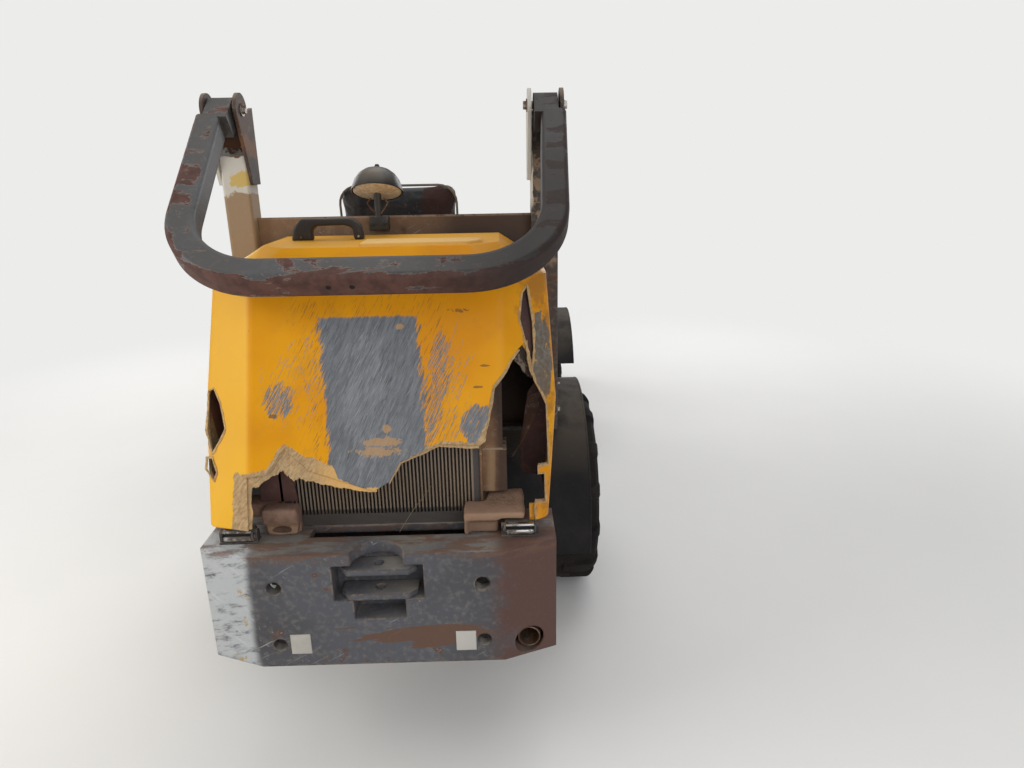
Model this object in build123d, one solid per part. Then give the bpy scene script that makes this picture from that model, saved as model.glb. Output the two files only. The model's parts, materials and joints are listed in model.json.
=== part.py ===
from build123d import *
from math import atan2, cos, degrees, hypot, pi, radians, sin
import os

# Compact articulated wheel loader, millimetres, +Y forward, +X to its right, +Z up.
# The origin is on the floor, midway between the counterweight's rear face and the cutting edge.

# Stance
rear_overhang = 960.0
rear_arm = 730.0
front_arm = 690.0
front_reach = 1170.0
running_gap = 0.3

# Wheels
tyre_radius = 345.0
tyre_width = 216.0
tyre_sides = 28
tyre_carcass = 330.0
tyre_shoulder = 30.0
lug_width = 40.0
lug_lean = 0.2
lug_past_middle = 14.0
lug_end_inset = 2.0
half_track = 518.0
rim_radius = 190.0
rim_width = 180.0
rim_wall = 8.0
hub_radius = 85.0
wheel_disc = 12.0
disc_inset = 30.0

# Axles
axle_height = 110.0
axle_depth = 100.0

# Rear frame rails
rail_half = 260.0
rail_thick = 30.0
rail_top = 520.0
rail_end_gap = 130.0
cross_plate = 12.0

# Counterweight
weight_half = 427.0
weight_flat_half = 297.0
weight_chamfer = 50.0
weight_depth = 210.0
weight_bottom = 328.0
weight_top = 632.0
weight_wall = 30.0
weight_lid = 20.0
slot_left = 176.0
slot_right = 216.0
slot_start = 88.0
slot_end = 143.0
upper_hole_x = 247.0
upper_hole_z = 546.0
upper_hole_radius = 18.0
lower_hole_x = 248.0
lower_hole_z = 389.0
lower_hole_radius = 17.0
pipe_x = 358.0
pipe_z = 369.0
pipe_hole_radius = 36.0

# Tow hitch
pocket_half = 108.0
pocket_bottom = 508.0
pocket_top = 602.0
pocket_depth = 64.0
recess_half = 62.0
recess_bottom = 457.0
notch_radius = 62.0
hitch_plate = 16.0
hitch_half = 92.0
hitch_corner = 20.0
hitch_drop = 12.0
pin_hole_radius = 12.5
pin_hole_y = 34.0

# Engine, radiator and exhaust
engine_start = 260.0
engine_length = 350.0
engine_bottom = 440.0
engine_top = 980.0
radiator_half = 245.0
radiator_start = 148.0
radiator_depth = 56.0
radiator_height = 270.0
fin_pitch = 9.0
fin_gap = 5.0
fin_depth = 14.0
shroud_wall = 6.0
shroud_length = 100.0
shroud_lip = 6.0
duct_wall = 5.0
duct_lower_x = 312.0
duct_upper_x = 303.0
duct_bottom = 713.0
duct_seam = 818.0
duct_top = 1020.0
duct_start = 152.0
duct_lean = 0.2
duct_end = 250.0
pipe_radius = 28.0
pipe_wall = 3.0
pipe_run = 300.0
pipe_recess = 34.0
pipe_bend = 70.0
pipe_inset = 80.0
pipe_turn = 40.0

# Hood
hood_wall = 6.0
hood_front = 636.0
hood_bottom = 678.0
hood_corner = 38.0
handle_left = -261.0
handle_right = -64.0
handle_y = 524.0
handle_height = 58.0
handle_bar = 26.0

# Hood hinges
hinge_x = 340.0
hinge_width = 90.0
hinge_y = 80.0
hinge_z = 653.0
hinge_base = 4.0
hinge_ear = 8.0
hinge_knuckle = 11.0
hinge_pin_radius = 5.0
hinge_half_depth = 17.0
hinge_box_bottom = 641.0
hinge_box_top = 666.0
strap_inner = 368.0
strap_outer = 402.0
strap_top = 706.0
strap_thick = 12.0
pad_top = 706.0
pad_front = 88.0
pad_back = 138.0
pad_left = 288.0
pad_right = 200.0
pad_tail = 346.0
pad_tail_start = 124.0
pad_tail_end = 188.0
pad_tail_bottom = 668.0
shelf_left = 204.0
shelf_right = 354.0
shelf_front = 74.0
shelf_drop = 14.0
shelf_thick = 18.0
shelf_foot = 288.0
shelf_tail = 258.0

# Posts, deck and bulkhead
post_half = 441.0
post_size = 78.0
post_y = 685.0
post_top = 1640.0
post_corner = 8.0
deck_z = 684.0
deck_thick = 12.0
bulkhead_top = 1356.0
bulkhead_thick = 6.0
ear_thick = 10.0
ear_radius = 44.0
bar_pivot_y = 629.0
bar_pivot_z = 1649.0
bar_pin_radius = 11.0

# Roll bar
bar_size = 68.0
bar_corner = 14.0
bar_tilt = 36.9
bar_reach = 640.0
bar_top_half = 460.0
bar_bend_half = 430.0
bar_bend = 210.0
bar_start = 66.0
bar_lug = 64.0
bar_lug_gap = 6.0

# Rear fenders
fender_gap = 46.0
fender_wall = 6.0
fender_outer = 581.0
fender_rear_angle = 190.0
fender_front_angle = 62.0

# Lamp
lamp_x = -43.0
lamp_y = 664.0
lamp_rise = 71.0
lamp_radius = 75.0
lamp_depth = 62.0
lamp_lens_thick = 8.0
lamp_stem = 11.0
lamp_tilt = 68.0

# Operator station
seat_box_start = 722.0
seat_box_length = 520.0
seat_box_top = 850.0
seat_box_wall = 5.0
seat_box_gap = 4.0
cushion_overhang = 10.0
seat_half = 215.0
seat_length = 430.0
seat_thick = 105.0
seat_back_y = 806.0
seat_back_top = 1454.0
seat_back_half = 195.0
seat_back_thick = 86.0
seat_back_lean = 8.0
floor_half = 470.0
floor_thick = 6.0
floor_gap = 50.0
floor_neck_half = 395.0
floor_tyre_gap = 25.0
floor_corner = 120.0
cowl_half = 130.0
cowl_depth = 110.0
cowl_height = 420.0
column_radius = 28.0
column_length = 250.0
column_lean = 28.0
wheel_ring = 175.0
wheel_grip = 14.0
console_left = 330.0
console_width = 120.0
console_length = 300.0
console_height = 150.0
lever_radius = 9.0
lever_height = 130.0
lever_knob = 22.0

# Articulation
pivot_bottom = 300.0
pivot_plate = 25.0
pivot_plate_gap = 5.0
tongue_radius = 85.0
pivot_pin_radius = 25.0
pivot_barrel_radius = 70.0

# Front frame
neck_half = 60.0
box_half = 130.0
box_gap = 120.0
box_top = 600.0
box_end = 160.0
tower_plate = 30.0
tower_depth = 210.0
front_fender_gap = 26.0
front_fender_inner = 396.0
front_fender_outer = 680.0
front_fender_rear_angle = 155.0
front_fender_front_angle = 45.0
fender_arm = 40.0
fender_arm_z = 560.0

# Boom
boom_pivot_back = 430.0
boom_pivot_z = 1150.0
boom_inner = 190.0
boom_plate = 30.0
boom_depth = 150.0
boom_tip_depth = 100.0
boom_knee_forward = 150.0
boom_knee_z = 760.0
boom_boss = 60.0
boom_tube_radius = 45.0
boom_tube_drop = 45.0
pin_radius = 20.0
bucket_pin_forward = 560.0
bucket_pin_z = 215.0

# Bucket and carrier
bucket_half = 700.0
bucket_wall = 10.0
bucket_floor = 12.0
bucket_back_gap = 118.0
bucket_top = 520.0
bucket_throat = 150.0
carrier_half = 340.0
carrier_plate = 14.0
carrier_bottom = 120.0
carrier_top = 500.0
carrier_ear = 14.0
carrier_gap = 6.0
carrier_bridge = 60.0

# Cylinders: the pins are placed forward of the front axle and above the floor
lift_anchor_forward = -360.0
lift_anchor_z = 400.0
lift_eye_forward = -100.0
lift_eye_z = 928.0
lift_x = 262.0
tilt_anchor_forward = 130.0
tilt_anchor_z = 930.0
tilt_eye_forward = 590.0
tilt_eye_z = 295.0
steer_anchor_x = 230.0
steer_anchor_back = 390.0
steer_eye_x = 170.0
steer_eye_ahead = 125.0
steer_z = 370.0
barrel_radius = 34.0
rod_radius = 17.0
steer_barrel_radius = 25.0
steer_rod_radius = 13.0
eye_radius = 29.0
gland_gap = 10.0
rod_start = 40.0
lift_retract = 0.0
tilt_retract = 50.0
steer_retract = 126.0
eye_bore = 16.3
eye_pin = 16.0
eye_width = 72.0
steer_eye_width = 44.0
eye_side_gap = 6.0
pin_head = 8.0

# Places worked out from the sizes above
wheelbase = rear_arm + front_arm
overall_length = rear_overhang + wheelbase + front_reach
rear_face = -overall_length / 2
lip_y = overall_length / 2
rear_axle_y = rear_face + rear_overhang
pivot_y = rear_axle_y + rear_arm
front_axle_y = pivot_y + front_arm
axle_z = tyre_radius
rail_bottom = axle_z + axle_height / 2
rail_inner = rail_half - rail_thick
rail_end = pivot_y - rail_end_gap
beam_half = half_track - tyre_width / 2 + 2.0
fender_radius = tyre_radius + fender_gap
boom_pivot_y = front_axle_y - boom_pivot_back
bucket_pin_y = front_axle_y + bucket_pin_forward
lamp_z = bulkhead_top + lamp_rise


def at(distance):
    """Y of a place this far forward of the counterweight's rear face."""
    return rear_face + distance


def block(x0, x1, y0, y1, z0, z1):
    centre = Pos((x0 + x1) / 2, (y0 + y1) / 2, (z0 + z1) / 2)
    return centre * Box(x1 - x0, y1 - y0, z1 - z0)


def rod_x(x0, x1, y, z, radius):
    return Pos((x0 + x1) / 2, y, z) * Rot(0, 90, 0) * Cylinder(radius, x1 - x0)


def rod_y(x, y0, y1, z, radius):
    return Pos(x, (y0 + y1) / 2, z) * Rot(90, 0, 0) * Cylinder(radius, y1 - y0)


def rod_z(x, y, z0, z1, radius):
    return Pos(x, y, (z0 + z1) / 2) * Cylinder(radius, z1 - z0)


def side_shape(points, x0, x1):
    """Prism along X with a closed outline of (y, z) points."""
    face = make_face(Polyline(*points, close=True))
    return Pos(x0, 0, 0) * extrude(Plane.YZ * face, x1 - x0)


def rear_shape(points, y0, y1):
    """Prism along Y with a closed outline of (x, z) points."""
    face = make_face(Polyline(*points, close=True))
    return Pos(0, y1, 0) * extrude(Plane.XZ * face, y1 - y0)


def plan_shape(points, z0, z1):
    """Prism along Z with a closed outline of (x, y) points."""
    face = make_face(Polyline(*points, close=True))
    return Pos(0, 0, z0) * extrude(face, z1 - z0)


def mirrored(shape):
    return mirror(shape, Plane.YZ)


def pair(shape):
    return [shape, mirrored(shape)]


def ring_sector(y, z, inner, outer, start, end, x0, x1):
    """Curved plate about an X axis, from the start angle down to the end angle, 0 forward and 90 up."""
    steps = [start + (end - start) * i / 2 for i in range(3)]
    out = [(y + outer * cos(radians(a)), z + outer * sin(radians(a))) for a in steps]
    inn = [(y + inner * cos(radians(a)), z + inner * sin(radians(a))) for a in steps]
    outline = [
        ThreePointArc(*out),
        Line(out[2], inn[2]),
        ThreePointArc(*reversed(inn)),
        Line(inn[0], out[0]),
    ]
    face = make_face(outline)
    return Pos(x0, 0, 0) * extrude(Plane.YZ * face, x1 - x0)


def save(name, shapes):
    """Write one node, from one shape or a list of separate solids."""
    solids = []
    for shape in shapes if isinstance(shapes, list) else [shapes]:
        solids += list(shape.solids())
    whole = solids[0] if len(solids) == 1 else Compound(children=solids)
    export_step(whole, f"parts/{name}.step")


def weight_outline():
    front = at(weight_depth)
    chamfer_y = at(weight_chamfer)
    return [
        (-weight_half, front),
        (-weight_half, chamfer_y),
        (-weight_flat_half, rear_face),
        (weight_flat_half, rear_face),
        (weight_half, chamfer_y),
        (weight_half, front),
    ]


def counterweight():
    front = at(weight_depth)
    chamfer_y = at(weight_chamfer)
    body = plan_shape(weight_outline(), weight_bottom, weight_top)
    inner = weight_half - weight_wall
    inner_outline = [
        (-inner, front + 1),
        (-inner, chamfer_y + weight_wall / 2),
        (-weight_flat_half, at(weight_wall)),
        (weight_flat_half, at(weight_wall)),
        (inner, chamfer_y + weight_wall / 2),
        (inner, front + 1),
    ]
    body -= plan_shape(inner_outline, weight_bottom + weight_lid, weight_top - weight_lid)
    pocket_back = at(pocket_depth)
    wall = weight_lid
    body += block(-pocket_half - wall, pocket_half + wall, at(weight_wall / 2), pocket_back + wall,
                  recess_bottom - wall, weight_top - weight_lid / 2)
    body -= block(-pocket_half, pocket_half, rear_face - 1, pocket_back, pocket_bottom, pocket_top)
    body -= block(-recess_half, recess_half, rear_face - 1, pocket_back, recess_bottom, pocket_bottom + 1)
    body -= rod_z(0, rear_face, pocket_top - 1, weight_top + 1, notch_radius)
    body -= block(-slot_left, slot_right, at(slot_start), at(slot_end), weight_top - weight_lid - 1, weight_top + 1)
    holes = [
        (upper_hole_x, upper_hole_z, upper_hole_radius, weight_wall + 2),
        (lower_hole_x, lower_hole_z, lower_hole_radius, weight_wall + 2),
    ]
    for x, z, radius, depth in holes:
        for side in (-1, 1):
            body -= rod_y(side * x, rear_face - 1, at(depth), z, radius)
    body -= rod_y(pipe_x, rear_face - 1, at(weight_depth + 1), pipe_z, pipe_hole_radius)
    save("counterweight", body)


def tow_hitch():
    back = at(pocket_depth)
    front = rear_face + 2
    outline = [
        (-hitch_half + hitch_corner, front), (-hitch_half, front + hitch_corner), (-hitch_half, back),
        (hitch_half, back), (hitch_half, front + hitch_corner), (hitch_half - hitch_corner, front),
    ]
    plates = []
    for z in (pocket_top - hitch_drop - hitch_plate, pocket_bottom):
        plate = plan_shape(outline, z, z + hitch_plate)
        plate -= rod_z(0, at(pin_hole_y), z - 1, z + hitch_plate + 1, pin_hole_radius)
        plates.append(plate)
    save("tow_hitch", plates)


def rear_chassis():
    rail = block(rail_inner, rail_half, at(weight_wall), rail_end, rail_bottom, rail_top)
    frame = rail + mirrored(rail)
    for y in (at(hood_front) - cross_plate, rail_end - cross_plate):
        frame += block(-rail_half, rail_half, y, y + cross_plate, rail_bottom, rail_top)
    drop = block(-box_half, box_half, rail_end - cross_plate, rail_end, pivot_bottom, rail_bottom)
    frame += drop
    for z in (pivot_bottom, rail_top - pivot_plate):
        plate = block(-tongue_radius, tongue_radius, rail_end, pivot_y, z, z + pivot_plate)
        plate += rod_z(0, pivot_y, z, z + pivot_plate, tongue_radius)
        frame += plate
    frame += rod_z(0, pivot_y, pivot_bottom, rail_top, pivot_pin_radius)
    frame += steer_bracket(steer_anchor_x, pivot_y - steer_anchor_back, rail_bottom)
    save("rear_chassis", frame)


def steer_bracket(x, y, top):
    """Fork under the right rail that holds the steering cylinder's barrel pin."""
    reach = steer_eye_width / 2 + eye_side_gap
    lower = steer_z - reach
    fork = block(x - eye_radius, x + eye_radius, y - eye_radius, y + eye_radius, lower - cross_plate, lower)
    side = block(x + eye_radius, x + eye_radius + cross_plate, y - eye_radius, y + eye_radius,
                 lower - cross_plate, top)
    pin = rod_z(x, y, lower - 1, top + 1, eye_pin)
    return fork + side + pin


def axle(name, y):
    beam = block(-beam_half + 40, beam_half - 40, y - axle_depth / 2, y + axle_depth / 2,
                 axle_z - axle_height / 2, axle_z + axle_height / 2)
    beam += rod_x(-beam_half, beam_half, y, axle_z, hub_radius - 30)
    beam += Pos(0, y, axle_z) * Sphere(axle_height / 2 + 30) & block(
        -200, 200, y - 200, y + 200, 0, axle_z + axle_height / 2)
    save(name, beam)


def engine_block():
    save("engine_block", block(-rail_inner, rail_inner, at(engine_start), at(engine_start + engine_length),
                               engine_bottom, engine_top))


def radiator():
    y0 = at(radiator_start)
    y1 = y0 + radiator_depth
    core = block(-radiator_half, radiator_half, y0, y1, weight_top, weight_top + radiator_height)
    count = int((2 * radiator_half - 40) / fin_pitch)
    for i in range(count):
        x = (i - (count - 1) / 2) * fin_pitch
        core -= block(x - fin_gap / 2, x + fin_gap / 2, y0 - 1, y0 + fin_depth,
                      weight_top + 30, weight_top + radiator_height - 30)
    save("radiator", core)


def radiator_shroud():
    y0 = at(radiator_start)
    side = block(radiator_half, radiator_half + shroud_wall, y0 - shroud_lip, y0 + shroud_length,
                 weight_top, weight_top + radiator_height)
    lid = block(-radiator_half - shroud_wall, radiator_half + shroud_wall, y0 - shroud_lip, y0 + shroud_length,
                weight_top + radiator_height, weight_top + radiator_height + shroud_wall)
    inner = radiator_half + shroud_wall - 1
    duct = Part()
    # Lower and upper half of the duct beside the radiator: outer wall, bottom and top
    for outer, low, high in ((duct_lower_x, duct_bottom, duct_seam), (duct_upper_x, duct_seam, duct_top)):
        start_low = at(duct_start + (low - duct_bottom) * duct_lean)
        start_high = at(duct_start + (high - duct_bottom) * duct_lean)
        rear = [(start_low, low), (start_low + duct_wall, low), (start_high + duct_wall, high), (start_high, high)]
        wall = [(start_low, low), (at(duct_end), low), (at(duct_end), high), (start_high, high)]
        duct += side_shape(rear, inner, outer)
        duct += side_shape(wall, outer - duct_wall, outer)
    seam_start = at(duct_start + (duct_seam - duct_bottom) * duct_lean)
    duct += block(inner, duct_lower_x, seam_start, at(duct_end), duct_seam - duct_wall, duct_seam)
    save("radiator_shroud", side + mirrored(side) + lid + duct)


def exhaust_pipe():
    start = (pipe_x, at(pipe_recess), pipe_z)
    turn = (pipe_x, at(pipe_run + pipe_turn), pipe_z)
    inner = (rail_inner - pipe_inset, at(pipe_run + pipe_turn), pipe_z)
    end = (rail_inner - pipe_inset, at(pipe_run + pipe_turn), engine_bottom)
    path = FilletPolyline(start, turn, inner, radius=pipe_bend)
    section = Plane(start, z_dir=(0, 1, 0)) * Circle(pipe_radius)
    bore = Plane(start, z_dir=(0, 1, 0)) * Circle(pipe_radius - pipe_wall)
    pipe = sweep(section, path) - sweep(bore, path)
    pipe += rod_z(inner[0], inner[1], pipe_z - pipe_radius, end[2], pipe_radius)
    save("exhaust_pipe", pipe)


# Hood sections from the bottom up: height, half-width of the flat rear face, its distance from the
# counterweight's rear face, half-width at the side, and the distance at which the side starts
hood_sections = [
    (hood_bottom, 300.0, 40.0, 411.0, 73.0),
    (928.0, 305.0, 139.0, 441.0, 227.0),
    (1229.0, 306.0, 256.0, 424.0, 336.0),
    (1305.0, 232.0, 330.0, 306.0, 392.0),
]


def hood_wire(height, flat, rear, side, facet, front, inset):
    points = [
        (-(side - inset), front, height),
        (-(side - inset), at(facet) + inset / 2, height),
        (-(flat - inset / 2), at(rear) + inset, height),
        (flat - inset / 2, at(rear) + inset, height),
        (side - inset, at(facet) + inset / 2, height),
        (side - inset, front, height),
    ]
    curve = FilletPolyline(*points, radius=hood_corner - inset)
    return make_face(curve + Line(points[-1], points[0]))


def hood_hollow():
    # The hollow runs out below and in front, and stops one wall short of the top
    heights = [row[0] for row in hood_sections]
    heights[0] -= 20
    heights[-1] -= hood_wall
    return loft([hood_wire(z, row[1], row[2], row[3], row[4], at(hood_front) + 20, hood_wall)
                 for z, row in zip(heights, hood_sections)], ruled=True)


def hood():
    front = at(hood_front)
    outer = loft([hood_wire(z, f, r, s, c, front, 0.0) for z, f, r, s, c in hood_sections], ruled=True)
    shell = outer - hood_hollow()
    # Torn places of the rear: the stations cut from and to, then the outline as x and height
    torn_places = [
        # the big tear, from the left corner to the right one, which keeps a strip of its corner
        (-20, 234, [
            (-300, 600), (-307, 794), (-262, 800), (-219, 856), (-159, 806), (-6, 759), (31, 779), (56, 821),
            (152, 859), (248, 854), (262, 863), (273, 948), (283, 988), (309, 1016), (325, 1042), (345, 1062),
            (366, 1078), (384, 985), (402, 950), (414, 922), (415, 790), (388, 792), (388, 774), (404, 772),
            (404, 712), (378, 716), (374, 600)]),
        # a slit that runs up from it between the rear face and the corner
        (150, 330, [(366, 1074), (352, 1130), (360, 1190), (372, 1206), (384, 1120), (386, 1060), (378, 1000)]),
        # two holes in the left corner
        (60, 240, [(-428, 968), (-412, 976), (-392, 946), (-374, 892), (-390, 862), (-410, 832), (-430, 880)]),
        (60, 240, [(-424, 818), (-410, 822), (-394, 792), (-402, 776), (-424, 796)]),
    ]
    for start, end, outline in torn_places:
        shell -= rear_shape(outline, at(start), at(end))
    save("hood", shell.solids().sort_by(SortBy.VOLUME)[-1])


def hood_handle():
    top = hood_sections[-1][0]
    y = at(handle_y)
    half = handle_bar / 2
    outline = [
        (handle_left, top), (handle_left + 14, top + handle_height), (handle_right - 14, top + handle_height),
        (handle_right, top), (handle_right - 34, top), (handle_right - 40, top + handle_height - 20),
        (handle_left + 40, top + handle_height - 20), (handle_left + 34, top),
    ]
    save("hood_handle", rear_shape(outline, y - half, y + half))


def hinges():
    half = hinge_width / 2
    x0 = hinge_x - half
    x1 = hinge_x + half
    y = at(hinge_y)
    bracket = block(x0, x1, y - hinge_half_depth, y + hinge_half_depth, weight_top, weight_top + hinge_base)
    for x in (x0, x1 - hinge_ear):
        bracket += block(x, x + hinge_ear, y - hinge_knuckle, y + hinge_knuckle, weight_top, hinge_z)
        bracket += rod_x(x, x + hinge_ear, y, hinge_z, hinge_knuckle)
    bracket += rod_x(x0, x1, y, hinge_z, hinge_pin_radius)
    save("hinge_brackets", pair(bracket))
    left = x0 + hinge_ear + 1
    right = x1 - hinge_ear - 1
    cover = block(left, right, y - hinge_half_depth, y + hinge_half_depth, hinge_box_bottom, hinge_box_top)
    # A strap goes up from the box to the inner side of the hood's corner
    neck = block(right - strap_thick, right, y + hinge_half_depth - strap_thick, y + hinge_half_depth,
                 hinge_box_top - 1, strap_top)
    plate = block(right - strap_thick, strap_outer, at(hood_sections[0][2]), y + hinge_half_depth,
                  hood_bottom, strap_top)
    cover += (neck + plate) & hood_hollow()
    cover -= rod_x(x0, x1, y, hinge_z, hinge_pin_radius + running_gap)
    save("hinge_covers", pair(cover))


def hood_pads():
    left = block(-pad_left, -pad_right, at(pad_front), at(pad_back), weight_top, pad_top)
    left += block(-pad_tail, -shelf_tail, at(pad_tail_start), at(pad_tail_end), pad_tail_bottom, pad_top)
    front_top = pad_top - shelf_drop
    slope = [
        (at(shelf_front), front_top - shelf_thick), (at(shelf_front), front_top),
        (at(pad_tail_end), pad_top), (at(pad_tail_end), pad_top - shelf_thick)]
    shelf = side_shape(slope, shelf_left, shelf_right)
    shelf -= block(shelf_left - 1, shelf_tail, at(pad_back), at(pad_tail_end) + 1, weight_top, pad_top + 1)
    foot = block(shelf_left, shelf_foot, at(shelf_front), at(shelf_front) + shelf_thick, weight_top,
                 front_top - shelf_thick / 2)
    save("hood_pads", [left, shelf + foot])


def deck_posts():
    y0 = at(post_y) - post_size / 2
    y1 = at(post_y) + post_size / 2
    half = post_size / 2
    deck = block(-post_half - half, post_half + half, y0, y1, deck_z, deck_z + deck_thick)
    for side in (-1, 1):
        foot = block(rail_inner, rail_half, y0, y1, rail_top, deck_z)
        deck += foot if side == 1 else mirrored(foot)
    post = Pos(post_half, at(post_y), (deck_z + deck_thick + post_top) / 2) * extrude(
        RectangleRounded(post_size, post_size, post_corner), (post_top - deck_z - deck_thick) / 2, both=True)
    ear_inner = post_half - half
    ear_outer = post_half + half
    for x in (ear_inner - ear_thick, ear_outer):
        ear = side_shape([
            (at(bar_pivot_y) - ear_radius, bar_pivot_z), (y0 + 10, post_top - 190),
            (y1 - 6, post_top - 190), (y1 - 6, post_top + 20),
            (at(bar_pivot_y) + ear_radius, bar_pivot_z)], x, x + ear_thick)
        ear += rod_x(x, x + ear_thick, at(bar_pivot_y), bar_pivot_z, ear_radius)
        post += ear
    post -= block(ear_inner, ear_outer, y0 - 1, at(bar_pivot_y) + ear_radius + 12, post_top - 110, post_top + 1)
    post += rod_x(ear_inner - ear_thick, ear_outer + ear_thick, at(bar_pivot_y), bar_pivot_z, bar_pin_radius)
    save("deck_posts", deck + post + mirrored(post))


def bulkhead():
    inner = post_half - post_size / 2
    y = at(post_y)
    save("bulkhead", block(-inner, inner, y - bulkhead_thick / 2, y + bulkhead_thick / 2,
                           deck_z + deck_thick, bulkhead_top))


def roll_bar():
    # The bend starts where the fillet of the drawn corner meets the leg
    path = FilletPolyline(
        (bar_top_half, -bar_start), (bar_bend_half, -bar_reach), (-bar_bend_half, -bar_reach),
        (-bar_top_half, -bar_start), radius=bar_bend)
    lean = Vector(bar_bend_half - bar_top_half, bar_start - bar_reach, 0).normalized()
    section = Plane((bar_top_half, -bar_start, 0), x_dir=(0, 0, 1), z_dir=lean) * RectangleRounded(
        bar_size, bar_size, bar_corner)
    tube = sweep(section, path)
    lug_half = post_size / 2 - bar_lug_gap
    lug = block(post_half - lug_half, post_half + lug_half, -bar_start - 12, 0, -bar_lug / 2, bar_lug / 2)
    lug += rod_x(post_half - lug_half, post_half + lug_half, 0, 0, bar_lug / 2)
    lug -= rod_x(post_half - lug_half - 1, post_half + lug_half + 1, 0, 0, bar_pin_radius + running_gap)
    hoop = tube + lug + mirrored(lug)
    # Flat U, then swung down about the pin
    hoop = Pos(0, at(bar_pivot_y), bar_pivot_z) * Rot(bar_tilt, 0, 0) * hoop
    save("roll_bar", hoop)


def fenders():
    plate = ring_sector(rear_axle_y, axle_z, fender_radius, fender_radius + fender_wall,
                        fender_rear_angle, fender_front_angle, rail_half, fender_outer)
    save("rear_fenders", pair(plate))
    radius = tyre_radius + front_fender_gap
    plate = ring_sector(front_axle_y, axle_z, radius, radius + fender_wall,
                        front_fender_rear_angle, front_fender_front_angle,
                        front_fender_inner, front_fender_outer)
    half = fender_arm / 2
    arm = block(box_half, front_fender_inner, front_axle_y - half, front_axle_y + half,
                fender_arm_z, fender_arm_z + cross_plate)
    arm += block(front_fender_inner - cross_plate, front_fender_inner, front_axle_y - half,
                 front_axle_y + half, fender_arm_z, axle_z + radius + fender_wall)
    save("front_fenders", pair(plate + arm))


def work_lamp():
    y = at(lamp_y)
    turn = Pos(lamp_x, y, lamp_z) * Rot(lamp_tilt - 90, 0, 0)
    cone = Cone(lamp_radius, lamp_radius * 0.5, lamp_depth)
    shell = turn * Pos(0, 0, lamp_depth / 2) * cone
    stem = rod_z(lamp_x, y, bulkhead_top, lamp_z + 10, lamp_stem)
    foot = block(lamp_x - 30, lamp_x + 30, y - lamp_stem, at(post_y) - bulkhead_thick / 2,
                 bulkhead_top - 40, bulkhead_top)
    lens = turn * Pos(0, 0, -running_gap - lamp_lens_thick / 2) * Cylinder(lamp_radius - 4, lamp_lens_thick)
    save("work_lamp", shell + stem + foot)
    save("lamp_lens", lens - rod_z(lamp_x, y, bulkhead_top, lamp_z + 10, lamp_stem + running_gap))


def seat():
    y0 = at(seat_box_start) + seat_box_gap
    y1 = y0 + seat_box_length
    box = block(-rail_half, rail_half, y0, y1, rail_top, seat_box_top)
    wall = seat_box_wall
    box -= block(-rail_half + wall, rail_half - wall, y0 + wall, y1 - wall, rail_top - 1, seat_box_top - wall)
    save("seat_box", box)
    base = seat_box_top
    cushion = block(-seat_half, seat_half, y1 - seat_length, y1 + cushion_overhang, base, base + seat_thick)
    save("seat_cushion", cushion)
    lean = seat_back_top - base
    shift = lean * sin(radians(seat_back_lean))
    y = at(seat_back_y)
    back = side_shape([
        (y - seat_back_thick / 2, seat_back_top), (y + seat_back_thick / 2, seat_back_top),
        (y + seat_back_thick / 2 + shift, base + seat_thick * 0.2), (y + seat_back_thick / 2 + shift, base),
        (y - seat_back_thick / 2 + shift, base)], -seat_back_half, seat_back_half)
    save("seat_back", back - cushion)


def station():
    start = at(seat_box_start) + seat_box_gap + seat_box_length
    end = pivot_y - floor_gap
    wide = rear_axle_y + tyre_radius + floor_tyre_gap
    right = [(floor_neck_half, start), (floor_neck_half, wide), (floor_half, wide),
             (floor_half, end - floor_corner), (floor_half - floor_corner, end)]
    outline = right + [(-x, y) for x, y in reversed(right)]
    save("floor_plate", plan_shape(outline, rail_top, rail_top + floor_thick))
    floor = rail_top + floor_thick
    cowl_y = end - cowl_depth
    cowl = side_shape([(cowl_y, floor), (end, floor), (end - 20, floor + cowl_height),
                       (cowl_y + 10, floor + cowl_height - 40)], -cowl_half, cowl_half)
    save("dash_cowl", cowl)
    foot = Pos(0, cowl_y + cowl_depth / 2, floor + cowl_height - 30)
    column = foot * Rot(column_lean, 0, 0) * Pos(0, 0, column_length / 2) * Cylinder(column_radius, column_length)
    save("steering_column", column - cowl)
    hub = foot * Rot(column_lean, 0, 0) * Pos(0, 0, column_length)
    ring = Torus(wheel_ring, wheel_grip) + Pos(0, 0, wheel_grip / 2) * Cylinder(column_radius + 6, wheel_grip)
    for angle in (90, 210, 330):
        spoke = Rot(0, 0, angle) * Pos(wheel_ring / 2, 0, wheel_grip / 2) * Box(wheel_ring, 18, 8)
        ring += spoke
    save("steering_wheel", hub * ring)
    top = axle_z + fender_radius + fender_wall
    x0 = console_left
    x1 = x0 + console_width
    y0 = rear_axle_y - console_length / 3
    console = block(x0, x1, y0, y0 + console_length, top - 60, top + console_height)
    console -= rod_x(x0 - 1, x1 + 1, rear_axle_y, axle_z, fender_radius + fender_wall)
    save("control_console", console)
    x = (x0 + x1) / 2
    y = y0 + console_length - 50
    lever = rod_z(x, y, top + console_height, top + console_height + lever_height, lever_radius)
    lever += Pos(x, y, top + console_height + lever_height) * Sphere(lever_knob)
    save("control_lever", lever)


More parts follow.
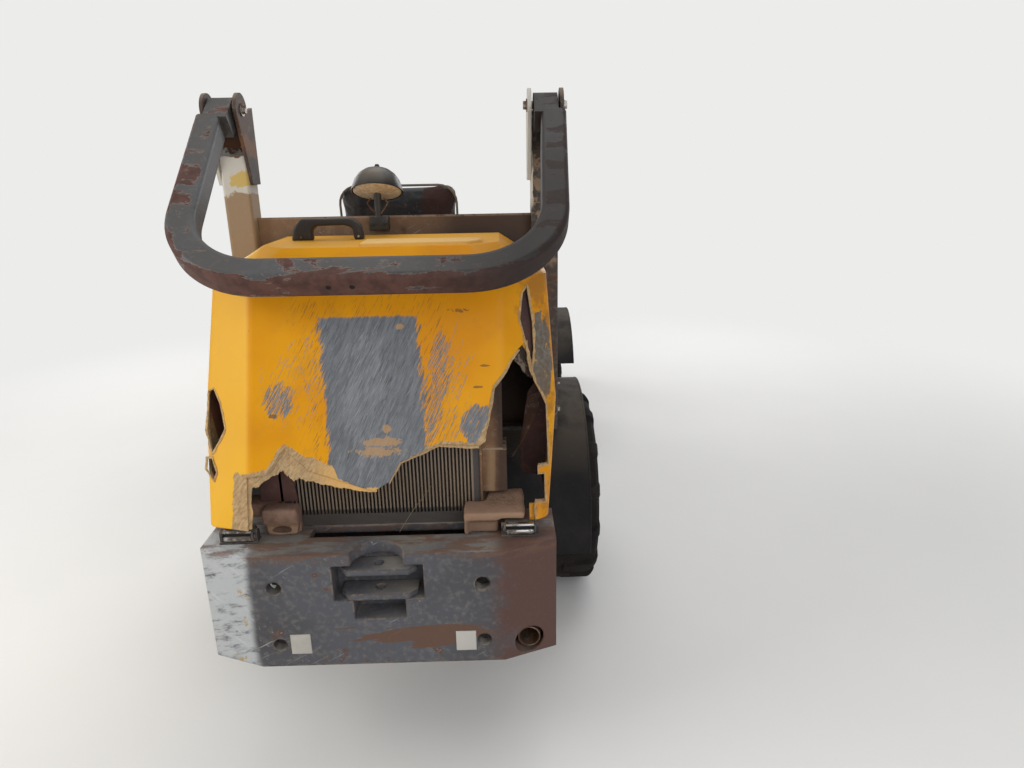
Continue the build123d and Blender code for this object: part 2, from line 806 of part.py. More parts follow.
def tyre():
    """Tyre about the Z axis, with flat facets all round and one slanted bar lug on each facet."""
    half = tyre_width / 2
    shoulder = tyre_carcass - tyre_shoulder
    # Radius and offset of the carcass section, once round
    section = [
        (rim_radius + running_gap, -half + 26), (rim_radius + 60, -half), (shoulder, -half),
        (tyre_carcass, -half + tyre_shoulder), (tyre_carcass, half - tyre_shoulder), (shoulder, half),
        (rim_radius + 60, half), (rim_radius + running_gap, half - 26),
    ]
    step = 2 * pi / tyre_sides

    def corner(radius, offset, index):
        reach = radius / cos(step / 2)
        angle = (index + 0.5) * step
        return (reach * cos(angle), reach * sin(angle), offset)

    faces = []
    for index in range(tyre_sides):
        for (radius, offset), (next_radius, next_offset) in zip(section, section[1:] + section[:1]):
            faces.append(Face(Wire.make_polygon([
                corner(radius, offset, index), corner(radius, offset, index + 1),
                corner(next_radius, next_offset, index + 1), corner(next_radius, next_offset, index)])))
    carcass = Solid(Shell(faces))
    middle = (half - lug_past_middle) / 2
    # The lug's top lies where its furthest corner reaches the tyre's radius
    spread = lug_width / 2 + lug_lean * (half + lug_past_middle) / 2
    top = (tyre_radius ** 2 - spread ** 2) ** 0.5
    end = half - lug_end_inset
    # Radius and offset of the lug's section, from past the tread's middle out to the shoulder
    lug_section = [
        (tyre_carcass - 10, -lug_past_middle), (top, -lug_past_middle), (top, half - 24), (top - 27, end),
        (shoulder - 6, end), (tyre_carcass - 12, half - tyre_shoulder + 2),
    ]
    lugs = []
    for index in range(tyre_sides):
        side = 1 if index % 2 else -1
        points = [(radius, lug_lean * (offset - middle) - lug_width / 2, side * offset)
                  for radius, offset in lug_section]
        lug = extrude(Face(Wire.make_polygon(points)), amount=lug_width, dir=(0, 1, 0))
        lugs.append(Rot(0, 0, degrees(index * step)) * lug)
    body = carcass.fuse(*[lug.solid() for lug in lugs])
    # Turned until the furthest corner of a lug stands on the floor
    return Rot(0, 0, degrees(atan2(spread, top))) * body


def wheels():
    # Wheel name, side and axle station
    table = [
        ("rear_left", -1, rear_axle_y),
        ("rear_right", 1, rear_axle_y),
        ("front_left", -1, front_axle_y),
        ("front_right", 1, front_axle_y),
    ]
    half = tyre_width / 2
    tyre_shape = tyre()
    rim = Cylinder(rim_radius, rim_width) - Cylinder(rim_radius - rim_wall, rim_width + 2)
    disc_z = half - disc_inset - wheel_disc
    rim += Pos(0, 0, disc_z + wheel_disc / 2) * Cylinder(rim_radius - rim_wall / 2, wheel_disc)
    drum_start = -(half_track - beam_half - running_gap)
    rim += Pos(0, 0, (drum_start + disc_z) / 2) * Cylinder(hub_radius, disc_z - drum_start)
    rim += Pos(0, 0, disc_z + wheel_disc + 14) * Cylinder(hub_radius * 0.5, 30)
    for name, side, y in table:
        place = Pos(side * half_track, y, axle_z) * Rot(0, side * 90, 0)
        save(f"tyre_{name}", place * tyre_shape)
        save(f"rim_{name}", place * rim)


def front_chassis():
    low = pivot_bottom + pivot_plate + pivot_plate_gap
    high = rail_top - pivot_plate - pivot_plate_gap
    y0 = pivot_y + box_gap
    y1 = front_axle_y + box_end
    frame = rod_z(0, pivot_y, low, high, pivot_barrel_radius)
    frame += block(-neck_half, neck_half, pivot_y, y0 + 40, low, high)
    frame += block(-box_half, box_half, y0, y0 + 160, low, box_top)
    frame += block(-box_half, box_half, y0, y1, rail_bottom, box_top)
    frame -= rod_z(0, pivot_y, low - 1, high + 1, pivot_pin_radius + running_gap)
    half = tower_depth / 2
    tower = side_shape([
        (boom_pivot_y - half, box_top - 40), (boom_pivot_y - boom_boss, boom_pivot_z),
        (boom_pivot_y + boom_boss, boom_pivot_z), (boom_pivot_y + half + 40, box_top - 40)],
        box_half - tower_plate, box_half)
    tower += rod_x(box_half - tower_plate, box_half, boom_pivot_y, boom_pivot_z, boom_boss)
    frame += tower + mirrored(tower)
    reach = boom_inner + boom_plate + cross_plate
    frame += rod_x(-reach, reach, boom_pivot_y, boom_pivot_z, pin_radius)
    anchor_y = front_axle_y + lift_anchor_forward
    for side in (-1, 1):
        inner = lift_x - eye_width / 2 - eye_side_gap
        foot = side_shape([(anchor_y - 50, lift_anchor_z - 40), (anchor_y + 50, lift_anchor_z - 40),
                           (anchor_y + 40, lift_anchor_z + 40), (anchor_y - 40, lift_anchor_z + 40)],
                          box_half, inner)
        foot += rod_x(box_half, lift_x + eye_width / 2 + 6, anchor_y, lift_anchor_z, eye_pin)
        frame += foot if side == 1 else mirrored(foot)
    save("front_chassis", frame)


def steer_lugs():
    """Two plates on the side of the front frame, above and below the eye of the steering rod."""
    y = pivot_y + steer_eye_ahead
    reach = steer_eye_width / 2 + eye_side_gap
    plates = []
    for side in (-1, 1):
        inner = steer_z + side * reach
        outer = inner + side * cross_plate
        low, high = sorted((inner, outer))
        plate = block(box_half, steer_eye_x + eye_radius, y - eye_radius, y + eye_radius, low, high)
        low, high = sorted((inner + side, outer + side * pin_head))
        plates.append(plate + rod_z(steer_eye_x, y, low, high, eye_pin))
    save("steer_lugs", plates)


def boom():
    pin = (boom_pivot_y, boom_pivot_z)
    tip = (bucket_pin_y, bucket_pin_z)
    knee = (front_axle_y + boom_knee_forward, boom_knee_z)
    half = boom_depth / 2
    tip_half = boom_tip_depth / 2
    # Unit normals of the two straight stretches, pointing up and forward
    upper = Vector(pin[1] - knee[1], knee[0] - pin[0]).normalized()
    lower = Vector(knee[1] - tip[1], tip[0] - knee[0]).normalized()
    middle = (upper + lower).normalized()
    arm = side_shape([
        (pin[0] + upper.X * boom_boss, pin[1] + upper.Y * boom_boss),
        (knee[0] + middle.X * half, knee[1] + middle.Y * half),
        (tip[0] + lower.X * tip_half, tip[1] + lower.Y * tip_half),
        (tip[0] - lower.X * tip_half, tip[1] - lower.Y * tip_half),
        (knee[0] - middle.X * half, knee[1] - middle.Y * half),
        (pin[0] - upper.X * boom_boss, pin[1] - upper.Y * boom_boss)], boom_inner, boom_inner + boom_plate)
    arm += rod_x(boom_inner, boom_inner + boom_plate, *pin, boom_boss)
    arm += rod_x(boom_inner, boom_inner + boom_plate, *tip, tip_half)
    arm -= rod_x(boom_inner - 1, boom_inner + boom_plate + 1, *pin, pin_radius + running_gap)
    arm -= rod_x(boom_inner - 1, boom_inner + boom_plate + 1, *tip, pin_radius + running_gap)
    arms = arm + mirrored(arm)
    tube = (knee[0] - middle.X * boom_tube_drop, knee[1] - middle.Y * boom_tube_drop)
    arms += rod_x(-boom_inner - 1, boom_inner + 1, *tube, boom_tube_radius)
    anchor = (front_axle_y + tilt_anchor_forward, tilt_anchor_z)
    x0 = eye_width / 2 + eye_side_gap
    lug = side_shape([
        (anchor[0] - eye_radius, anchor[1]), (anchor[0] + eye_radius, anchor[1]),
        (tube[0] + boom_tube_radius, tube[1]), (tube[0] - boom_tube_radius, tube[1])], x0, x0 + cross_plate)
    lug += rod_x(x0, x0 + cross_plate, *anchor, eye_radius)
    arms += lug + mirrored(lug)
    arms += rod_x(-x0 - 1, x0 + 1, *anchor, eye_pin)
    save("boom", arms)


def bucket():
    back = bucket_pin_y + bucket_back_gap
    floor_y = back + bucket_throat
    outer = [
        (lip_y, bucket_floor), (lip_y - 90, bucket_floor + 14), (floor_y, bucket_floor),
        (back + 30, bucket_floor + 60), (back, bucket_floor + 160), (back, bucket_top),
        (back + 60, bucket_top), (lip_y - 60, bucket_floor + 120),
    ]
    # Side plates close the ends of a bent floor-and-back sheet
    sheet_outline = [
        (lip_y, bucket_floor), (floor_y, bucket_floor), (back + 30, bucket_floor + 60),
        (back, bucket_floor + 160), (back, bucket_top), (back + bucket_wall, bucket_top),
        (back + bucket_wall, bucket_floor + 164), (back + 36, bucket_floor + 72),
        (floor_y + 4, bucket_floor + bucket_wall), (lip_y - 60, bucket_floor + bucket_wall),
    ]
    sheet = side_shape(sheet_outline, -bucket_half, bucket_half)
    side = side_shape([
        (lip_y - 30, bucket_floor), (floor_y, bucket_floor), (back + 30, bucket_floor + 60),
        (back, bucket_floor + 160), (back, bucket_top), (back + 90, bucket_top),
        (lip_y - 70, bucket_floor + 150)], bucket_half - bucket_wall, bucket_half)
    lip = block(-bucket_half, bucket_half, back + bucket_wall - 1, back + 60, bucket_top - bucket_wall, bucket_top)
    save("bucket", sheet + side + mirrored(side) + lip)
    plate = block(-carrier_half, carrier_half, back - carrier_plate, back, carrier_bottom, carrier_top)
    plate -= block(-carrier_half - 1, carrier_half + 1, back - carrier_plate - 1, back + 1, 0, bucket_floor + 160)
    # The middle is open behind the tilt rod's eye
    eye_gap = eye_width / 2 + eye_side_gap
    plate -= block(-eye_gap, eye_gap, back - carrier_plate - 1, back + 1, 0, carrier_top - carrier_bridge)
    x_pairs = [
        (boom_inner - carrier_gap - carrier_ear, boom_inner - carrier_gap),
        (boom_inner + boom_plate + carrier_gap, boom_inner + boom_plate + carrier_gap + carrier_ear),
    ]
    for x0, x1 in x_pairs:
        ear = side_shape([
            (bucket_pin_y - 44, bucket_pin_z - 44), (bucket_pin_y - 44, bucket_pin_z + 30),
            (back - carrier_plate, bucket_pin_z + 110), (back - carrier_plate, bucket_floor + 160),
            (bucket_pin_y, bucket_pin_z - 44)], x0, x1)
        ear = ear + mirrored(ear)
        plate += ear
    reach = x_pairs[1][1]
    pin = rod_x(x_pairs[0][0], reach, bucket_pin_y, bucket_pin_z, pin_radius)
    plate += pin + mirrored(pin)
    eye = (front_axle_y + tilt_eye_forward, tilt_eye_z)
    x0 = eye_gap
    lug = side_shape([
        (eye[0], eye[1] - eye_radius), (eye[0], eye[1] + eye_radius), (back - carrier_plate, eye[1] + 60),
        (back - carrier_plate, eye[1] - 60)], x0, x0 + cross_plate)
    lug += rod_x(x0, x0 + cross_plate, *eye, eye_radius)
    lug += rod_x(x0, x0 + cross_plate + pin_head, *eye, eye_pin)
    save("tool_carrier", plate + lug + mirrored(lug))


def cylinder_parts(anchor, eye, radius, rod, width, retract):
    """Barrel and rod along +Z from the anchor pin at 0. The rod's eye is closed: its pin turns with it."""
    length = hypot(eye[0] - anchor[0], eye[1] - anchor[1])
    barrel_end = length - eye_radius - gland_gap - retract
    rod_end = rod_start + 4 + retract
    start = eye_radius * 0.7
    barrel = Pos(0, 0, (start + barrel_end) / 2) * Cylinder(radius, barrel_end - start)
    barrel += Rot(0, 90, 0) * Cylinder(eye_radius, width)
    barrel -= Rot(0, 90, 0) * Cylinder(eye_bore, width + 2)
    barrel -= Pos(0, 0, (rod_start + barrel_end) / 2 + 1) * Cylinder(rod + running_gap, barrel_end - rod_start + 2)
    shaft = Pos(0, 0, (rod_end + length) / 2) * Cylinder(rod, length - rod_end)
    shaft += Pos(0, 0, length) * Rot(0, 90, 0) * Cylinder(eye_radius, width)
    return barrel, shaft


def cylinders():
    # Name of the barrel and rod, anchor and eye as (y, z), X of the cylinder, mirrored if not zero, and
    # the length by which the rod still goes in from rest
    rams = [
        ("lift_barrels", "lift_rods", (front_axle_y + lift_anchor_forward, lift_anchor_z),
         (front_axle_y + lift_eye_forward, lift_eye_z), lift_x, lift_retract),
        ("tilt_barrel", "tilt_rod", (front_axle_y + tilt_anchor_forward, tilt_anchor_z),
         (front_axle_y + tilt_eye_forward, tilt_eye_z), 0.0, tilt_retract),
    ]
    for barrel_name, rod_name, anchor, eye, x, retract in rams:
        lean = degrees(atan2(eye[0] - anchor[0], eye[1] - anchor[1]))
        barrel, shaft = cylinder_parts(anchor, eye, barrel_radius, rod_radius, eye_width, retract)
        place = Pos(x, *anchor) * Rot(-lean, 0, 0)
        barrel = place * barrel
        shaft = place * shaft
        if x:
            # The rod's eye turns on a pin that stops against the arm
            shaft += rod_x(boom_inner + boom_plate + running_gap, x, *eye, eye_pin)
            barrel = pair(barrel)
            shaft = pair(shaft)
        save(barrel_name, barrel)
        save(rod_name, shaft)
    anchor = (steer_anchor_x, pivot_y - steer_anchor_back)
    eye = (steer_eye_x, pivot_y + steer_eye_ahead)
    turn = degrees(atan2(eye[1] - anchor[1], eye[0] - anchor[0]))
    barrel, shaft = cylinder_parts(anchor, eye, steer_barrel_radius, steer_rod_radius, steer_eye_width,
                                   steer_retract)
    place = Pos(anchor[0], anchor[1], steer_z) * Rot(0, 0, turn) * Rot(0, 90, 0)
    save("steer_barrel", place * barrel)
    save("steer_rod", place * shaft)


os.makedirs("parts", exist_ok=True)
counterweight()
tow_hitch()
rear_chassis()
axle("rear_axle", rear_axle_y)
axle("front_axle", front_axle_y)
engine_block()
radiator()
radiator_shroud()
exhaust_pipe()
hood()
hood_handle()
hinges()
hood_pads()
deck_posts()
bulkhead()
roll_bar()
fenders()
work_lamp()
seat()
station()
wheels()
front_chassis()
steer_lugs()
boom()
bucket()
cylinders()
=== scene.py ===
import bpy
import bmesh
import json
import math
import random
from types import SimpleNamespace
from mathutils import Matrix, Vector


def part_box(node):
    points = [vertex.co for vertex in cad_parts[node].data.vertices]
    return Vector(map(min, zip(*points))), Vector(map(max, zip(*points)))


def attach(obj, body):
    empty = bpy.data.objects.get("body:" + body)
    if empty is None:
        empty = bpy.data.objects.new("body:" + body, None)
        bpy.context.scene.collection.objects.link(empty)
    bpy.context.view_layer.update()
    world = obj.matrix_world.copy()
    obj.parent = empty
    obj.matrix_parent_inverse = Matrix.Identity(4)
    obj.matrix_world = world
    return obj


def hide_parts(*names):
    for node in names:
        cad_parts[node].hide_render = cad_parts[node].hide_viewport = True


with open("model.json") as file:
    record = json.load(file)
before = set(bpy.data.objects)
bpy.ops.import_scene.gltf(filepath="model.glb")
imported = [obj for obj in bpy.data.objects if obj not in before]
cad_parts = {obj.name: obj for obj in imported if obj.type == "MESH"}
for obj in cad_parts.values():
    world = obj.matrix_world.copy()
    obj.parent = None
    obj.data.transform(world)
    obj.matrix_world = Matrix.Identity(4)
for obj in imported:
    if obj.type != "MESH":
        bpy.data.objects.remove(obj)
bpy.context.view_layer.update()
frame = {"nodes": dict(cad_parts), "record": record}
print("frame loaded,", len(frame["nodes"]), "nodes")

nodes = frame["nodes"]
record = frame["record"]
joints = record["behaviour"]["joints"]
jointPlace = {joint["name"]: Vector(joint["pos_m"]) for joint in joints if "pos_m" in joint}
jointAxis = {joint["name"]: Vector(joint["axis"]) for joint in joints}
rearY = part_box("counterweight")[0].y        # the counterweight's rear face, from which stations are counted
dice = random.Random(41)
sides = (-1, 1)
corners = ("rear_left", "rear_right", "front_left", "front_right")


def station(distance):
    return rearY + distance


def sideOf(corner):
    return -1 if "left" in corner else 1


def middleOf(node):
    low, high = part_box(node)
    return (low + high) / 2


# Material building blocks: they work on the material that was opened last

kit = SimpleNamespace()


class shaderValue:
    # a node's output that can be reckoned with
    def __init__(self, socket):
        self.socket = socket

    def __add__(self, other):
        return maths("ADD", self, other)

    def __sub__(self, other):
        return maths("SUBTRACT", self, other)

    def __rsub__(self, other):
        return maths("SUBTRACT", other, self)

    def __mul__(self, other):
        return maths("MULTIPLY", self, other)

    def __truediv__(self, other):
        return maths("DIVIDE", self, other)


def setInput(socket, value):
    if isinstance(value, shaderValue):
        kit.tree.links.new(value.socket, socket)
    elif socket.type == "RGBA":
        socket.default_value = (*value, 1)
    else:
        socket.default_value = value


def addNode(kind, values=None, **settings):
    node = kit.tree.nodes.new("ShaderNode" + kind)
    for key, value in settings.items():
        setattr(node, key, value)
    for key, value in (values or {}).items():
        setInput(node.inputs[key], value)
    return node


def output(kind, values=None, out=0, **settings):
    return shaderValue(addNode(kind, values, **settings).outputs[out])


def maths(operation, first, second=0.0):
    return output("Math", {0: first, 1: second}, operation=operation)


def vectorMaths(operation, first, second=(0, 0, 0), out=0):
    return output("VectorMath", {0: first, 1: second}, out, operation=operation)


def fade(value, low, high):
    return output("MapRange", {"Value": value, "From Min": low, "From Max": high},
                  interpolation_type="SMOOTHSTEP")


def band(value, low, lowFull, highFull, high):
    # 1 between two heights, fading out to both sides
    return fade(value, low, lowFull) * fade(value, high, highFull)


def most(first, second):
    return maths("MAXIMUM", first, second)


def absolute(value):
    return maths("ABSOLUTE", value)


def mixColour(amount, first, second):
    return output("Mix", {0: amount, 6: first, 7: second}, 2, data_type="RGBA")


def mixValue(amount, first, second):
    return output("Mix", {0: amount, 2: first, 3: second}, data_type="FLOAT")


def tint(tone, amount):
    kit.colour = mixColour(amount, kit.colour, tone)


def split(vector):
    return [shaderValue(socket) for socket in addNode("SeparateXYZ", {0: vector}).outputs]


def noise(scale, detail, roughness, distortion=0.0, place=None):
    return output("TexNoise", {"Vector": place or kit.place, "Scale": scale, "Detail": detail,
                               "Roughness": roughness, "Distortion": distortion})


def strokes(scale, turn, detail, roughness, distortion=0.0, shift=(0, 0, 0)):
    # a noise that is drawn out: its place is turned, then scaled
    turned = output("Mapping", {"Vector": kit.place, "Rotation": turn, "Location": shift})
    return noise(1.0, detail, roughness, distortion, output("Mapping", {"Vector": turned, "Scale": scale}))


def cells(scale, **settings):
    return output("TexVoronoi", {"Vector": kit.place, "Scale": scale}, "Distance", **settings)


def openMaterial(name, edgeRadius=None):
    kit.material = bpy.data.materials.new(name)
    kit.material.use_nodes = True
    kit.tree = kit.material.node_tree
    kit.tree.nodes.clear()
    kit.shader = addNode("BsdfPrincipled")
    kit.surface = addNode("OutputMaterial", {"Surface": shaderValue(kit.shader.outputs[0])})
    kit.place = output("TexCoord", out="Object")
    kit.normal = output("TexCoord", out="Normal")
    kit.axes = split(kit.place)
    kit.facing = split(kit.normal)
    kit.soft = None
    if edgeRadius:
        # the normal of edges rounded to this radius, and how near to an edge a point lies
        kit.soft = output("Bevel", {"Radius": edgeRadius}, samples=4)
        same = vectorMaths("DOT_PRODUCT", kit.soft, output("NewGeometry", out="Normal"), "Value")
        kit.edge = fade(same, 0.995, 0.86)


def closeMaterial(roughness, height, depth, metallic=0.0, gloss=0.32):
    for name, value in (("Base Color", kit.colour), ("Roughness", roughness), ("Metallic", metallic),
                        ("Specular IOR Level", gloss)):
        setInput(kit.shader.inputs[name], value)
    bump = {"Height": height, "Strength": 0.7, "Distance": depth}
    if kit.soft:
        bump["Normal"] = kit.soft
    setInput(kit.shader.inputs["Normal"], output("Bump", bump))
    return kit.material


def blob(spot, ragged):
    # 1 inside an ellipse of the rear view (centre, half sizes), with its edge pushed about by a noise
    x, y, z = kit.axes
    across = (x - spot[0]) / spot[2]
    height = (z - spot[1]) / spot[3]
    reach = maths("SQRT", across * across + height * height)
    return fade((ragged - 0.5) * spot[4] + reach, 1.03, 0.94)


# Camera and light

view = {
    "place": (0.3, -3.23, 1.5),
    "yaw": 0.0175,               # radians towards +X
    "pitch": 0.3052,             # radians down
    "roll": -0.0176,
    "focalPixels": 704.14,
    "pictureWidth": 1024,
    "sensor": 36.0,
}
lights = [
    # name, place, aimed at, width, watts, colour
    ("doorLight", (-3.4, -2.6, 2.4), (0.0, -1.2, 0.7), 2.4, 84, (1.0, 0.96, 0.89)),
    ("rearFill", (1.6, -4.4, 2.0), (0.1, -1.3, 0.8), 2.8, 44, (0.97, 0.98, 1.0)),
    ("topLight", (0.4, 0.4, 4.6), (0.0, -0.2, 0.8), 3.4, 62, (1.0, 0.99, 0.97)),
    ("frontFill", (2.8, 3.6, 2.4), (0.0, 0.6, 0.6), 2.6, 70, (0.98, 0.98, 1.0)),
    ("leftFrontFill", (-3.2, 2.8, 2.2), (0.0, 0.4, 0.6), 2.6, 56, (1.0, 0.99, 0.97)),
]
surround = {"light": (0.86, 0.87, 0.89), "strength": 0.4, "seen": (0.84, 0.84, 0.83)}


def placeObject(name, data, place, turn):
    thing = bpy.data.objects.new(name, data)
    thing.matrix_world = Matrix.Translation(place) @ turn.to_4x4()
    bpy.context.scene.collection.objects.link(thing)
    return thing


def makeCamera():
    yaw, pitch, roll = view["yaw"], view["pitch"], view["roll"]
    level = Vector((math.sin(yaw), math.cos(yaw), 0))
    right = Vector((math.cos(yaw), -math.sin(yaw), 0))
    forward = level * math.cos(pitch) - Vector((0, 0, 1)) * math.sin(pitch)
    up = level * math.sin(pitch) + Vector((0, 0, 1)) * math.cos(pitch)
    rolledRight = right * math.cos(roll) + up * math.sin(roll)
    rolledUp = up * math.cos(roll) - right * math.sin(roll)
    data = bpy.data.cameras.new("photoCamera")
    data.sensor_width = view["sensor"]
    data.lens = view["focalPixels"] * view["sensor"] / view["pictureWidth"]
    data.clip_end = 200
    turn = Matrix((rolledRight, rolledUp, -forward)).transposed()
    bpy.context.scene.camera = placeObject("photoCamera", data, view["place"], turn)


def cameraRay():
    return output("LightPath", out="Is Camera Ray")


def makeLights():
    for name, place, aim, width, watts, colour in lights:
        data = bpy.data.lights.new(name, "AREA")
        data.size = width
        data.energy = watts
        data.color = colour
        placeObject(name, data, place, (Vector(aim) - Vector(place)).to_track_quat("-Z", "Y").to_matrix())
    world = bpy.data.worlds.new("studio")
    world.use_nodes = True
    kit.tree = world.node_tree
    kit.tree.nodes.clear()
    lit = output("Background", {"Color": surround["light"], "Strength": surround["strength"]})
    seen = output("Background", {"Color": surround["seen"]})
    addNode("OutputWorld", {0: output("MixShader", {0: cameraRay(), 1: lit, 2: seen})})
    bpy.context.scene.world = world
    bpy.context.scene.view_settings.view_transform = "Standard"


# Worn paint

paintDefaults = {
    "chipScale": 22.0, "chipLevel": 0.66, "edgeWear": 0.16, "rust": (0.13, 0.055, 0.028), "rustLevel": 0.64,
    "scratch": (0.42, 0.41, 0.39), "scratchLevel": 0.675, "dust": (0.34, 0.28, 0.21), "dustAmount": 0.45,
    "roughness": 0.5, "edgeRadius": 0.004, "depth": 0.0008,
}


def agedPaint(name, colour, shade, bare, extra=None, **changes):
    look = {**paintDefaults, **changes}
    openMaterial(name, look["edgeRadius"])
    broad = kit.broad = noise(3.0, 3, 0.55)
    grain = kit.grain = noise(70.0, 3, 0.6)
    kit.colour = mixColour(fade(broad, 0.34, 0.66), colour, shade)
    tint(look["dust"], fade(grain, 0.45, 0.75) * 0.25)
    # two crossing sets of fine scratches, in patches
    crossed = most(strokes((7, 230, 230), (0, 0.5, 0), 2, 0.5),
                   strokes((9, 260, 260), (0, -0.8, 0.3), 2, 0.5))
    level = look["scratchLevel"]
    scratches = fade(noise(4.5, 3, 0.6), 0.48, 0.62) * fade(crossed, level, level + 0.05)
    tint(look["scratch"], scratches * 0.75)
    # chips down to the primer or the steel, more of them along the edges
    worn = kit.edge * look["edgeWear"] + noise(look["chipScale"], 7, 0.68, 0.3)
    chips = fade(worn, look["chipLevel"], look["chipLevel"] + 0.02)
    tint(look["rust"], fade(worn, look["rustLevel"] - 0.05, look["rustLevel"] + 0.02) * 0.8)
    tint(bare, chips)
    # dust that has settled on what faces up
    settled = fade(kit.facing[2], 0.35, 0.95) * look["dustAmount"] * fade(broad, 0.25, 0.62)
    tint(look["dust"], settled)
    kit.rough = mixValue(settled, mixValue(chips, grain * 0.16 + (look["roughness"] - 0.06), 0.62), 0.9)
    kit.height = grain * 0.25 - chips * 0.8 - scratches * 0.25
    if extra:
        extra(*kit.axes)
    return closeMaterial(kit.rough, kit.height, look["depth"])


def weightExtra(x, y, z):
    # a pale scraped left corner and a rust-brown right corner
    pushed = x + (kit.broad * 0.05 - 0.025)
    onSide = fade(kit.broad * 0.1 + y, station(0.14), station(0.26))
    left = fade(pushed, -0.292, -0.318) * (1.0 - onSide * 0.8)
    scraped = left * fade(strokes((14, 14, 60), (0.0, 0.35, 0.8), 7, 0.72), 0.3, 0.52)
    tint((0.5, 0.52, 0.53), scraped * 0.88)
    tint((0.56, 0.57, 0.56), left * fade(strokes((200, 200, 12), (0.5, 0.9, 0.8), 3, 0.6), 0.6, 0.66) * 0.7)
    tint((0.42, 0.3, 0.16), left * fade(noise(14, 5, 0.7), 0.62, 0.68))
    tint((0.105, 0.048, 0.036), fade(pushed, 0.25, 0.312) * fade(noise(9, 4, 0.6), 0.25, 0.5) * 0.9)
    # a rusty smear low on the right of the middle, and a stained top edge
    streak = strokes((6, 30, 60), (0, 0.12, 0), 5, 0.7)
    tint((0.13, 0.062, 0.036), blob((0.1, 0.408, 0.15, 0.032, 2.6), streak) * 0.85)
    tint((0.15, 0.08, 0.05), fade(z, 0.6, 0.628) * fade(streak, 0.46, 0.58) * 0.75)


def barExtra(x, y, z):
    # grey where the bar faces up, rust-brown on its outer side, with a peeling border between, and painted
    # shade darkening it towards its right leg
    centre = jointPlace["roll_bar_fold"] + Vector((0, -0.25, -0.19))
    away = vectorMaths("NORMALIZE", vectorMaths("SUBTRACT", kit.place, tuple(centre)))
    flakes = strokes((7, 13, 22), (0, 0, 0), 7, 0.66, 0.3)
    border = vectorMaths("DOT_PRODUCT", away, kit.normal, "Value") + (flakes * 5.0 - 2.5)
    brown = fade(border, 0.36, 0.4)
    tone = mixColour(fade(noise(30, 4, 0.6), 0.35, 0.65), (0.12, 0.052, 0.038), (0.07, 0.028, 0.021))
    tint(tone, brown * 0.93)
    tint((0.3, 0.22, 0.18), band(border, 0.26, 0.33, 0.38, 0.45) * 0.38)
    # painted shade: the bar darkens towards its right leg, away from the light
    tint((0.018, 0.013, 0.012), fade(x, 0.05, 0.38) * 0.86)
    kit.rough = mixValue(brown, kit.rough, 0.66)
    kit.height = kit.height - brown * 0.8


postZones = {"white": (0.55, 0.53, 0.48), "yellow": (0.55, 0.4, 0.13), "tan": (0.36, 0.25, 0.15)}


def postExtra(x, y, z):
    # the left post has a bare white stretch under its ear; the right one has pale flaking patches and a pale
    # inner strip, flaking paint with painted sunlight on it
    wobble = noise(16, 5, 0.65) * 0.12 - 0.06
    height = z + wobble
    left = fade(x, -0.3, -0.34)
    right = fade(x, 0.3, 0.34)
    onPost = fade(x, -0.4015, -0.4022)
    tint(postZones["white"], onPost * band(height, 1.418, 1.425, 1.532, 1.54))
    tint(postZones["yellow"], onPost * band(height, 1.445, 1.452, 1.48, 1.488)
         * fade(x + wobble, -0.45, -0.443))
    tint(postZones["tan"], left * fade(height, 1.43, 1.42) * 0.8)
    pale = right * fade(noise(26, 6, 0.7), 0.5, 0.55) * band(height, 1.2, 1.23, 1.52, 1.56)
    tint(postZones["tan"], pale * 0.55)
    # pale strip on the right post's inner edge: flaking paint, brightened as painted sunlight
    tint(postZones["white"], right * fade(x + wobble * 0.12, 0.4085, 0.4065) * fade(height, 1.36, 1.4))
    # a rusty fold over the white stretch
    tint((0.2, 0.085, 0.035), left * band(height, 1.532, 1.545, 1.57, 1.585) * 0.7)


def shroudExtra(x, y, z):
    # the air duct beside the radiator: darker to its right, with a pale ledge at its seam
    pushed = kit.broad * 0.03 + x
    tint((0.045, 0.026, 0.02), fade(pushed, 0.286, 0.312) * 0.85)
    tint((0.34, 0.22, 0.12), fade(z, 0.835, 0.812) * band(pushed, 0.27, 0.285, 0.292, 0.3) * 0.6)
    seam = band(z, 0.8155, 0.8165, 0.8205, 0.8215) * fade(kit.grain, 0.4, 0.5)
    tint((0.36, 0.26, 0.17), seam * 0.7)


def bulkheadExtra(x, y, z):
    # painted shade darkens it to its right, away from the sunlit tan at its left, with a worn upper rim
    tint((0.05, 0.032, 0.026), fade(kit.broad * 0.22 + x, 0.02, 0.3) * 0.88)
    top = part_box("bulkhead")[1].z
    tint((0.34, 0.26, 0.2), fade(z, top - 0.007, top - 0.004) * fade(kit.grain, 0.35, 0.5) * 0.55)


def strapExtra(x, y, z):
    # the strap above the hinge box has the hood's colour
    tint((0.55, 0.25, 0.02), fade(z, 0.6665, 0.6675))


# Hood: orange-yellow moulding with a big scraped patch, streaks beside it and pale broken fibre at the tears

